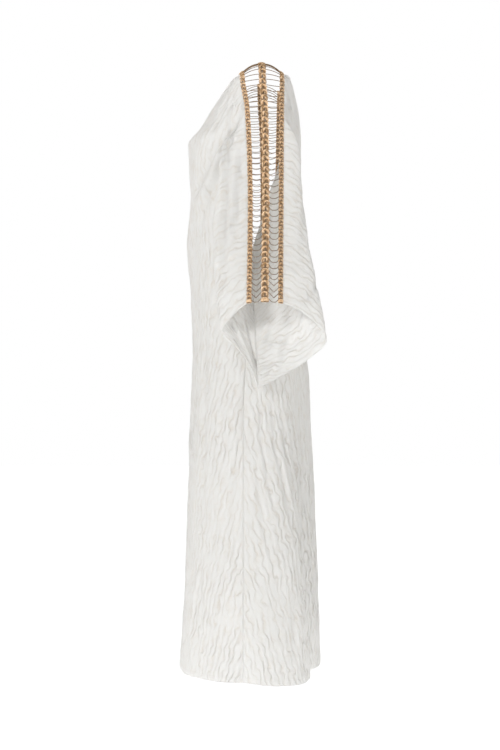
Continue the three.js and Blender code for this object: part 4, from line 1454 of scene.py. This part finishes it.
@dataclass
class LadderTrim:
    """The open trim of one sleeve: two edge chains, a middle chain and rows of rungs."""

    side: Side
    trim: TrimLine = TrimLine()
    edge_width: float = 13.0
    centre_width: float = 19.0
    yarn_radius: float = 0.82
    centre_chain: LoopChain = LoopChain(
        13.5, (3.1, 4.9, 6.7, 8.4), (4.6, 6.2, 7.4, 8.4), 1.25, 20
    )
    edge_chain: LoopChain = LoopChain(8.6, (2.0, 3.7, 5.4), (2.8, 4.2, 5.3), 1.0, 16)
    first_edge_eye: float = 3.0
    # Dark yarns inside the chains, which paint the shade between the loops.
    shade_core_steps: int = 64
    shade_core_depth: float = 0.2
    centre_shade_core_gap: float = 1.8
    edge_shade_core_gap: float = 1.7
    wrap_turns: int = 4
    wrap_steps: int = 24
    wrap_pitch: float = 1.5
    wrap_inset: float = 1.2
    wrap_height: float = 2.3
    centre_wrap: float = 8.6
    edge_wrap: float = 5.6
    rung_pitch: float = 13.5
    rung_margin: float = 8.0
    rung_radius: float = 0.8
    rung_hidden: float = 1.5
    rung_steps: int = 14
    rung_rise: float = 0.5
    rung_seed: int = 41
    uneven_place: float = 0.8
    uneven_sag: float = 0.7
    uneven_slant: float = 0.8
    stitch_radius: float = 0.28
    stitch_pitch: float = 4.6
    stitch_run: float = 2.4

    @property
    def name(self) -> str:
        """Name of the trim's CAD node."""
        return "ladder_trim_left" if self.side is L else "ladder_trim_right"

    @property
    def rung_count(self) -> int:
        """Number of rungs in a column."""
        return int((self.trim.length - 2 * self.rung_margin) // self.rung_pitch) + 1

    @property
    def first_rung(self) -> float:
        """Run of a column's first rung."""
        return (self.trim.length - (self.rung_count - 1) * self.rung_pitch) / 2

    def mirror(self, points: Array) -> Array:
        """The points on this trim's own side."""
        return points * np.array([float(self.side), 1.0, 1.0])

    def edge_lie(self, run: Array) -> tuple[Array, Array]:
        """The trim's half width, and the cosine of its slope at its edges."""
        half = self.trim.place(run, 0.0).half
        return half, np.cos(np.arctan(2 * self.trim.crown(run) / half))

    @staticmethod
    def beside_middle(away: float) -> Callable[[Array], Array]:
        """A line at a fixed distance across the trim, against the run."""
        return lambda run: 0.0 * run + away

    def beside_edge(self, face: Face, away: float = 0.0) -> Callable[[Array], Array]:
        """A line at a distance from an edge chain's middle.

        Args:
            face: Which edge of the trim.
            away: Distance from the chain's middle, above 0 towards the back.

        Returns:
            The line's distance across the trim, against the run.
        """

        def place(run: Array) -> Array:
            """The line's distance across the trim."""
            half, slant = self.edge_lie(run)
            return face * (half - self.edge_width / 2 * slant) + away

        return place

    def rung_ends(self, face: Face, run: Array) -> tuple[Array, Array]:
        """Where the rungs of a column hang from: just inside the chains beside it.

        Args:
            face: Which column.
            run: Distances along the trim.

        Returns:
            Distances across the trim of the front end and the back end.
        """
        half, slant = self.edge_lie(run)
        outer = face * (half - (self.edge_width - self.rung_hidden) * slant)
        inner = face * (self.centre_width / 2 - self.rung_hidden)
        return np.minimum(outer, inner), np.maximum(outer, inner)

    def build(
        self,
        braid: bpy.types.Material,
        shade_core: bpy.types.Material,
        thread: bpy.types.Material,
        sewing: bpy.types.Material,
    ) -> list[bpy.types.Object]:
        """Makes the trim.

        Args:
            braid: Light yarn of the chains.
            shade_core: Dark yarn inside them, painted shade for the gaps between their loops.
            thread: Thread of the rungs.
            sewing: Thread of the stitches.

        Returns:
            Its pieces: the chains, the rungs and the stitches.
        """
        chains = Yarns(f"{self.name}_chains", self.yarn_radius)
        lines = self.centre_chain.lay(self.trim, self.beside_middle(0.0), self.first_rung)
        for face in Face:
            lines += self.edge_chain.lay(self.trim, self.beside_edge(face), self.first_edge_eye)
        for line, over in lines + self.wraps():
            chains.add(self.mirror(line), 0, over)
        # Dark yarns inside the chains, which paint the shade between the loops.
        for line in self.shade_cores():
            chains.add(self.mirror(line), 1)
        made = chains.build([braid, shade_core])
        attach(made, BODY)
        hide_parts(self.name)
        return [made, self.build_rungs(thread), self.build_stitches(sewing)]

    def wraps(self) -> list[tuple[Array, Array]]:
        """Yarn wound round each end of each chain, which keeps it from fraying.

        Returns:
            For each winding, its points in millimetres and how open it lies.
        """
        turns = self.wrap_turns
        turn = np.linspace(0.0, 2 * math.pi * turns, self.wrap_steps * turns + 1)
        middles = [(self.beside_middle(0.0), self.centre_wrap)]
        middles += [(self.beside_edge(face), self.edge_wrap) for face in Face]
        last = self.trim.length - self.wrap_inset - self.wrap_pitch * turns
        lines = []
        for middle, half in middles:
            for start in (self.wrap_inset, last):
                run = start + self.wrap_pitch * turn / (2 * math.pi)
                sideways = middle(run) + half * np.cos(turn)
                points = on_trim(self.trim, run, sideways, self.wrap_height * np.sin(turn))
                lines.append((points, np.ones(len(turn))))
        return lines

    def shade_cores(self) -> list[Array]:
        """Straight dark yarns inside each chain, which paint the shade seen between its loops.

        Returns:
            The line of each yarn in millimetres.
        """
        run = np.linspace(0.0, self.trim.length, self.shade_core_steps)
        places = [self.beside_middle(k * self.centre_shade_core_gap) for k in range(-3, 4)]
        for face in Face:
            places += [self.beside_edge(face, k * self.edge_shade_core_gap) for k in range(-2, 3)]
        inside = np.full(len(run), -self.shade_core_depth)
        return [on_trim(self.trim, run, place(run), inside) for place in places]

    def build_rungs(self, thread: bpy.types.Material) -> bpy.types.Object:
        """Makes the two columns of rungs, each rung a thread slung between two chains.

        Args:
            thread: Thread of the rungs.

        Returns:
            The rungs as one mesh.
        """
        yarns = Yarns(f"{self.name}_rungs", self.rung_radius)
        uneven = np.random.default_rng(self.rung_seed + self.side)
        share = np.linspace(0.0, 1.0, self.rung_steps + 1)
        for face, hang in ((Face.FRONT, FRONT_RUNGS), (Face.BACK, BACK_RUNGS)):
            for k in range(self.rung_count):
                run = self.first_rung + k * self.rung_pitch
                run += uneven.uniform(-self.uneven_place, self.uneven_place)
                sag = float(hang.sag(run)) + uneven.uniform(-self.uneven_sag, self.uneven_sag)
                slant = float(hang.slant(run))
                slant += uneven.uniform(-self.uneven_slant, self.uneven_slant)
                low = float(hang.low(run))
                bent = np.where(share < low, share / low, (1 - share) / (1 - low))
                dip = 1.0 - np.abs(1.0 - bent) ** float(hang.fullness(run))
                along = np.clip(run + slant * (share - 0.5) + sag * dip, 0.0, self.trim.length)
                across = lerp(*self.rung_ends(face, np.array(run)), share)
                lift = self.rung_rise * np.sin(math.pi * share)
                yarns.add(self.mirror(on_trim(self.trim, along, across, lift)))
        made = yarns.build([thread])
        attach(made, BODY)
        return made

    def build_stitches(self, sewing: bpy.types.Material) -> bpy.types.Object:
        """Makes the slanted stitches that sew both edge chains to the cloth.

        Args:
            sewing: Thread of the stitches.

        Returns:
            The stitches as one mesh.
        """
        yarns = Yarns(f"{self.name}_stitches", self.stitch_radius, sides=4)

        # From inside the chain, over its outer yarns and down into the cloth.
        share = np.array([0.0, 0.35, 0.7, 1.0])
        height = np.array([0.6, 1.75, 1.5, 0.2])
        outward = lerp(-2.6, 2.4, share)
        first, end = 3.0, self.trim.length - 4.0
        for face in Face:
            for start in np.arange(first, end, self.stitch_pitch):
                along = start + self.stitch_run * share
                across = face * (self.trim.place(along, 0.0).half + outward)
                yarns.add(self.mirror(on_trim(self.trim, along, across, height)))
        made = yarns.build([sewing])
        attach(made, BODY)
        return made


@dataclass
class Stitching:
    """Rows of sewing stitches on the turned edges of a panel."""

    panel: ClothPanel
    length: float = 2.6
    gap: float = 1.1
    radius: float = 0.22
    first: float = 1.0
    lift: float = 0.1

    def rows(self) -> list[Array]:
        """Lines on the cloth that are sewn.

        Returns:
            The rows of hem, cuff and neckline on each half, in millimetres.
        """
        lines = []
        for side, half in self.panel.halves.items():
            turned = len(half.TURNED)
            for row in (
                half.skirt.index[:, -turned - 1],
                half.sleeve.index[-turned - 1],
                half.chest.index[half.at_neck, turned - 1],
            ):
                lines.append(self.panel.line(side, row, self.lift))
        return lines

    def build(self, material: bpy.types.Material) -> bpy.types.Object:
        """Makes every stitch of the panel as one mesh.

        Args:
            material: The sewing thread.

        Returns:
            The stitches.
        """
        yarns = Yarns(f"{self.panel.name}_stitches", self.radius, sides=4)
        for line in self.rows():
            places = measured(line)
            end = places[-1] - self.length
            for start in np.arange(self.first, end, self.length + self.gap):
                at = start + self.length * np.array([0.0, 0.5, 1.0])
                points = np.stack([np.interp(at, places, line[:, k]) for k in range(3)], axis=1)
                yarns.add(points)
        made = yarns.build([material])
        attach(made, BODY)
        return made


@dataclass
class NeckBinding:
    """The narrow rolled binding of a panel's neckline."""

    panel: ClothPanel
    radius: float = 1.7
    sunk: float = 0.5

    def build(self, material: bpy.types.Material) -> bpy.types.Object:
        """Makes the binding, from one trim to the other.

        Args:
            material: The binding's cotton.

        Returns:
            The binding.
        """
        yarns = Yarns(f"{self.panel.name}_neck_binding", self.radius, sides=8)
        left, right = (
            self.panel.line(side, half.chest.index[half.at_neck, 0], -self.sunk)
            for side, half in self.panel.halves.items()
        )
        yarns.add(np.concatenate([left[:0:-1], right]))
        made = yarns.build([material])
        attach(made, BODY)
        return made


def linear(hex_colour: str) -> tuple[float, float, float, float]:
    """The linear colour of an sRGB one.

    Args:
        hex_colour: The colour, written as #rrggbb.

    Returns:
        Red, green, blue and an alpha of 1.
    """
    parts = [int(hex_colour[k : k + 2], 16) / 255 for k in (1, 3, 5)]
    made = [p / 12.92 if p <= 0.04045 else ((p + 0.055) / 1.055) ** 2.4 for p in parts]
    return (*made, 1.0)


def add_node(tree: bpy.types.NodeTree, kind: str, *inputs: object, **values: object) -> bpy.types.Node:
    """Adds a node with its inputs set or linked.

    Args:
        tree: The node tree.
        kind: The node's type.
        *inputs: Values or sockets for its first inputs, in order.
        **values: Inputs by name, which starts with a capital and has
            underscores for spaces, and attributes in lower case.

    Returns:
        The node.
    """
    node = tree.nodes.new(kind)
    named = []
    for key, value in values.items():
        if key[0].isupper():
            named.append((key.replace("_", " "), value))
        else:
            setattr(node, key, value)
    for key, value in [*enumerate(inputs), *named]:
        if isinstance(value, bpy.types.NodeSocket):
            tree.links.new(value, node.inputs[key])
        else:
            node.inputs[key].default_value = value
    return node


@dataclass(frozen=True)
class ClothFinish:
    """Finish of the crinkled cotton, with its scales in millimetres.

    "through" is the tint of light that comes through the cloth, and "thinness"
    how much of what is seen is such light. The groove colour is shade painted
    into the grooves between the ribs, and the painted shade's width is below 1
    where that shade is narrower than the grooves.
    """

    crest: str = "#eff0f0"
    # Painted shade: the darker, warmer colour of the grooves between the ribs.
    groove: str = "#dcd4c9"
    through: str = "#fbfaf8"
    thinness: float = 0.6
    roughness: float = 0.9
    sheen: float = 0.1
    painted_shade_width: float = 0.55
    calmed_level: float = 0.6
    lump_pinch: float = 0.55
    rib_wobble: float = 1.9
    relief: float = 1.0
    crease_across: float = 3.0
    crease_along: float = 14.0
    crease_depth: float = 1.0
    thread_pitch: float = 0.55
    thread_depth: float = 0.12

    def material(self) -> bpy.types.Material:
        """Crinkled white cotton: lumpy ribs with shade painted into their grooves, fine creases along the
        warp, a plain weave.

        Returns:
            The material, which gives the eye soft matt cloth that glows a little.
        """
        made = bpy.data.materials.new("crinkled_cotton")
        made.use_nodes = True
        tree = made.node_tree
        shader = tree.nodes["Principled BSDF"]
        shader.inputs["Roughness"].default_value = self.roughness
        shader.inputs["Sheen Weight"].default_value = self.sheen
        shader.inputs["Sheen Roughness"].default_value = 0.5
        shader.inputs["Specular IOR Level"].default_value = 0.2

        # Ribs that flatten out towards the seams, as they do in the mesh.
        share = add_node(tree, "ShaderNodeAttribute", attribute_name="rib_share").outputs["Fac"]
        calm = add_node(
            tree, "ShaderNodeMapRange", share, To_Min=self.calmed_level, To_Max=0.0
        )
        raised = add_node(
            tree,
            "ShaderNodeMath",
            self.rib_height(tree),
            calm.outputs["Result"],
            operation="MAXIMUM",
        ).outputs["Value"]

        # Painted shade: the narrow grooves between the ribs are coloured darker and warmer than the
        # lumps' crests.
        curve = add_node(tree, "ShaderNodeMath", raised, self.painted_shade_width, operation="POWER")
        shade = add_node(
            tree,
            "ShaderNodeMix",
            data_type="RGBA",
            Factor=curve.outputs["Value"],
            A=linear(self.groove),
            B=linear(self.crest),
        )
        tree.links.new(shade.outputs["Result"], shader.inputs["Base Color"])
        normal = self.surface(tree, raised)
        tree.links.new(normal, shader.inputs["Normal"])

        # Light that the thin cloth lets through, which brightens it from inside.
        thin = add_node(
            tree, "ShaderNodeBsdfTranslucent", Color=linear(self.through), Normal=normal
        )
        cloth = add_node(
            tree,
            "ShaderNodeMixShader",
            self.thinness,
            shader.outputs["BSDF"],
            thin.outputs["BSDF"],
        )
        tree.links.new(cloth.outputs["Shader"], tree.nodes["Material Output"].inputs["Surface"])
        return made

    def surface(
        self, tree: bpy.types.NodeTree, raised: bpy.types.NodeSocket
    ) -> bpy.types.NodeSocket:
        """Relief of the ribs with fine creases and the weave on it.

        Args:
            tree: The material's node tree.
            raised: Height of the ribs, 0 to 1.

        Returns:
            The normal of the cloth.
        """
        flat = add_node(tree, "ShaderNodeUVMap", uv_map="flat_cloth").outputs["UV"]
        height = add_node(tree, "ShaderNodeAttribute", attribute_name="rib_height").outputs["Fac"]
        scaled = add_node(tree, "ShaderNodeMath", raised, height, operation="MULTIPLY")
        relief = add_node(
            tree,
            "ShaderNodeBump",
            Strength=1.0,
            Distance=self.relief * MM,
            Height=scaled.outputs["Value"],
        )

        # Fine creases that break the ribs up, longer along the warp than across it.
        scale = (1 / (self.crease_across * MM), 1 / (self.crease_along * MM), 1.0)
        stretch = add_node(tree, "ShaderNodeMapping", Vector=flat, Scale=scale)
        creases = add_node(
            tree,
            "ShaderNodeTexNoise",
            Vector=stretch.outputs["Vector"],
            Scale=1.0,
            Detail=4.0,
            Roughness=0.6,
            Distortion=1.2,
        )
        fine = add_node(
            tree,
            "ShaderNodeBump",
            Strength=0.8,
            Distance=self.crease_depth * MM,
            Height=creases.outputs["Fac"],
            Normal=relief.outputs["Normal"],
        )

        # Plain weave, one thread over and one under, seen only close up. The bands of a
        # wave texture repeat every pi / 10 units.
        scale = math.pi / 10 / (self.thread_pitch * MM)
        warp, weft = (
            add_node(tree, "ShaderNodeTexWave", Vector=flat, Scale=scale, bands_direction=axis)
            for axis in ("X", "Y")
        )
        threads = add_node(
            tree, "ShaderNodeMath", warp.outputs["Fac"], weft.outputs["Fac"], operation="MULTIPLY"
        )
        weave = add_node(
            tree,
            "ShaderNodeBump",
            Strength=0.25,
            Distance=self.thread_depth * MM,
            Height=threads.outputs["Value"],
            Normal=fine.outputs["Normal"],
        )
        return weave.outputs["Normal"]

    def rib_height(self, tree: bpy.types.NodeTree) -> bpy.types.NodeSocket:
        """Height of the ribs: Crinkle.profile with grooves that come and go.

        Args:
            tree: The material's node tree.

        Returns:
            The height, from 0 in a groove to 1 on top of a lump.
        """

        def maths(operation: str, *inputs: object) -> bpy.types.NodeSocket:
            """The result of one Math node."""
            return add_node(tree, "ShaderNodeMath", *inputs, operation=operation).outputs["Value"]

        def noise(across: float, along: float) -> bpy.types.NodeSocket:
            """Noise on the flat cloth.

            Args:
                across: Size of its patches across the warp, in millimetres.
                along: Their size along it.

            Returns:
                The noise, 0 to 1.
            """
            scale = (1 / (across * MM), 1 / (along * MM), 1.0)
            flat = add_node(tree, "ShaderNodeUVMap", uv_map="flat_cloth").outputs["UV"]
            place = add_node(tree, "ShaderNodeMapping", Vector=flat, Scale=scale)
            return add_node(
                tree, "ShaderNodeTexNoise", Vector=place.outputs["Vector"], Scale=1.0, Detail=1.0
            ).outputs["Fac"]

        flow = add_node(tree, "ShaderNodeUVMap", uv_map="crinkle_flow").outputs["UV"]
        split = add_node(tree, "ShaderNodeSeparateXYZ", flow)
        wobble = maths("MULTIPLY", maths("SUBTRACT", noise(17, 26), 0.5), self.rib_wobble)
        across = maths("ADD", split.outputs["X"], wobble)
        number = maths("ROUND", across)
        beside = maths("ABSOLUTE", maths("SUBTRACT", across, number))
        rib = maths("SUBTRACT", 1.0, maths("POWER", maths("MULTIPLY", beside, 2.0), 2.8))
        turn = maths("ADD", split.outputs["Y"], maths("MULTIPLY", number, Crinkle.TURN_STEP))
        wave = maths("ABSOLUTE", maths("SINE", maths("MULTIPLY", turn, math.pi)))
        lump = maths("POWER", wave, 0.45)
        neck = maths("MULTIPLY_ADD", lump, self.lump_pinch, 1.0 - self.lump_pinch)
        depth = maths("SUBTRACT", 1.0, maths("MULTIPLY", rib, neck))
        deep = add_node(
            tree, "ShaderNodeMapRange", noise(30, 34), From_Min=0.3, From_Max=0.6, To_Min=0.3
        )
        return maths("SUBTRACT", 1.0, maths("MULTIPLY", depth, deep.outputs["Result"]))


@dataclass(frozen=True)
class YarnFinish:
    """Finish of a yarn or thread, with shade painted where it dives between its neighbours.

    "under" is the colour of that painted shade, or "dark" where none is given,
    and "patch" is the length in millimetres of its lighter and darker stretches.
    """

    name: str
    light: str
    dark: str
    metallic: float
    roughness: float
    under: str = ""
    patch: float = 4.0
    twist_pitch: float = 0.5
    twist_depth: float = 0.2

    def material(self) -> bpy.types.Material:
        """Twisted yarn, with metal thread wound on it where it is a bronze one.

        Returns:
            The material, which gives the eye a soft glint that changes along the yarn.
        """
        made = bpy.data.materials.new(self.name)
        made.use_nodes = True
        tree = made.node_tree
        shader = tree.nodes["Principled BSDF"]
        shader.inputs["Metallic"].default_value = self.metallic
        shader.inputs["Roughness"].default_value = self.roughness
        place = add_node(tree, "ShaderNodeTexCoord").outputs["Object"]

        # Patches of lighter and darker yarn, a few millimetres long.
        patches = add_node(
            tree, "ShaderNodeTexNoise", Vector=place, Scale=1 / (self.patch * MM), Detail=2.0
        )
        spread = add_node(
            tree, "ShaderNodeMapRange", patches.outputs["Fac"], From_Min=0.35, From_Max=0.65
        )
        colour = add_node(
            tree,
            "ShaderNodeMix",
            data_type="RGBA",
            Factor=spread.outputs["Result"],
            A=linear(self.dark),
            B=linear(self.light),
        )

        # Painted shade: a strand that dives between the others is coloured darker, for the shade it lies
        # in there.
        over = add_node(tree, "ShaderNodeAttribute", attribute_name="over").outputs["Fac"]
        shaded = add_node(
            tree,
            "ShaderNodeMix",
            data_type="RGBA",
            Factor=over,
            A=linear(self.under or self.dark),
            B=colour.outputs["Result"],
        )
        tree.links.new(shaded.outputs["Result"], shader.inputs["Base Color"])

        # The twist of the fine threads.
        twist = add_node(
            tree, "ShaderNodeTexNoise", Vector=place, Scale=1 / (self.twist_pitch * MM), Detail=1.0
        )
        bump = add_node(
            tree,
            "ShaderNodeBump",
            Strength=0.5,
            Distance=self.twist_depth * MM,
            Height=twist.outputs["Fac"],
        )
        tree.links.new(bump.outputs["Normal"], shader.inputs["Normal"])
        return made


# The braid's under colour is painted shade where its strands dive between the others.
BRAID_YARN = YarnFinish("bronze_braid_yarn", "#efd4b1", "#cfa57a", 0.25, 0.4, "#98764f")
# Dark yarn whose colour is painted shade for the gaps between the chains' loops.
SHADE_CORE_YARN = YarnFinish("bronze_shade_core_yarn", "#785d3f", "#54402a", 0.2, 0.6)
RUNG_THREAD = YarnFinish("bronze_rung_thread", "#86694a", "#65503a", 0.2, 0.55)
SEWING_THREAD = YarnFinish("white_sewing_thread", "#f0efec", "#e0ddd8", 0.0, 0.6)
BINDING = YarnFinish("cotton_binding", "#e6e4e1", "#d8d4ce", 0.0, 0.85)


@dataclass(frozen=True)
class Studio:
    """Plain pale studio: a white floor far below, soft light and the photograph's camera.

    The surround is white within "white_to" of level and falls to the strength
    "dim" at "dim_from", both as the sine of the angle up or down.
    """

    floor: float = -2.3
    floor_size: float = 40.0
    floor_glow: float = 0.85
    white_to: float = 0.27
    dim_from: float = 0.4
    dim: float = 0.1
    key: float = 94.0
    fill: float = 22.0
    camera: tuple[float, float, float] = (3.44, 0.0, -0.754)
    lens: float = 66.5

    def build(self) -> None:
        """Makes the floor, lights and camera."""
        self.make_world()
        bpy.ops.object.select_all(action="DESELECT")
        bpy.ops.mesh.primitive_plane_add(size=self.floor_size, location=(0.0, 0.0, self.floor))
        floor = bpy.context.active_object
        floor.name = "studio_floor"
        floor.data.materials.append(self.floor_material())
        self.area("key_light", (2.9, -2.1, 1.4), self.key, 0.9)
        self.area("fill_light", (2.3, 2.5, 0.9), self.fill, 1.2)
        camera = bpy.data.objects.new("camera", bpy.data.cameras.new("camera"))
        camera.data.lens = self.lens
        camera.data.sensor_width = 36.0
        camera.data.clip_start = 0.05
        camera.data.clip_end = 60.0
        camera.location = self.camera
        camera.rotation_euler = (math.pi / 2, 0.0, math.pi / 2)
        bpy.context.scene.collection.objects.link(camera)
        bpy.context.scene.camera = camera
        bpy.context.scene.view_settings.view_transform = "Standard"

    def make_world(self) -> None:
        """Makes the surround: white all round at eye level, dim overhead and below."""
        world = bpy.data.worlds.new("studio")
        world.use_nodes = True
        tree = world.node_tree
        towards = add_node(tree, "ShaderNodeTexCoord").outputs["Generated"]
        split = add_node(tree, "ShaderNodeSeparateXYZ", towards)
        level = add_node(tree, "ShaderNodeMath", split.outputs["Z"], operation="ABSOLUTE")
        strength = add_node(
            tree,
            "ShaderNodeMapRange",
            level.outputs["Value"],
            From_Min=self.white_to,
            From_Max=self.dim_from,
            To_Min=1.0,
            To_Max=self.dim,
        )
        shade = tree.nodes["Background"]
        shade.inputs["Color"].default_value = (1.0, 1.0, 1.0, 1.0)
        tree.links.new(strength.outputs["Result"], shade.inputs["Strength"])
        bpy.context.scene.world = world

    def floor_material(self) -> bpy.types.Material:
        """Matt white paper, lit from below as on a light table.

        Returns:
            The material, which meets the white surround without a horizon.
        """
        made = bpy.data.materials.new("studio_paper")
        made.use_nodes = True
        shader = made.node_tree.nodes["Principled BSDF"]
        shader.inputs["Base Color"].default_value = linear("#f7f7f7")
        shader.inputs["Roughness"].default_value = 0.9
        shader.inputs["Emission Color"].default_value = (1.0, 1.0, 1.0, 1.0)
        shader.inputs["Emission Strength"].default_value = self.floor_glow
        return made

    @staticmethod
    def area(name: str, place: tuple[float, float, float], power: float, size: float) -> None:
        """Adds a square soft light that faces the garment's middle.

        Args:
            name: Name of the light.
            place: Its place in metres.
            power: Its power in watts.
            size: Its width in metres.
        """
        data = bpy.data.lights.new(name, "AREA")
        data.energy, data.size = power, size
        made = bpy.data.objects.new(name, data)
        made.location = place
        aim = Vector((0.0, 0.0, -0.75)) - Vector(place)
        made.rotation_euler = aim.to_track_quat("-Z", "Y").to_euler()
        bpy.context.scene.collection.objects.link(made)


def report(*pieces: bpy.types.Object) -> None:
    """Logs the name and the number of faces of each piece."""
    for piece in pieces:
        log.info("%s: %d faces", piece.name, len(piece.data.polygons))


def main() -> None:
    """Builds the dressed kaftan over its frame."""
    logging.basicConfig(level=logging.INFO, format="%(name)s: %(message)s")
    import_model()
    form = GarmentForm()
    cotton = ClothFinish().material()
    sewing = SEWING_THREAD.material()
    binding = BINDING.material()
    yarns = [finish.material() for finish in (BRAID_YARN, SHADE_CORE_YARN, RUNG_THREAD)]
    for face in Face:
        panel = ClothPanel(face, form, CRINKLES[face])
        cloth = panel.build(cotton)
        sewn = [Stitching(panel).build(sewing), NeckBinding(panel).build(binding)]
        report(cloth, *sewn)
    for side in Side:
        report(*LadderTrim(side).build(*yarns, sewing))
    Studio().build()


if __name__ == "__main__":
    main()
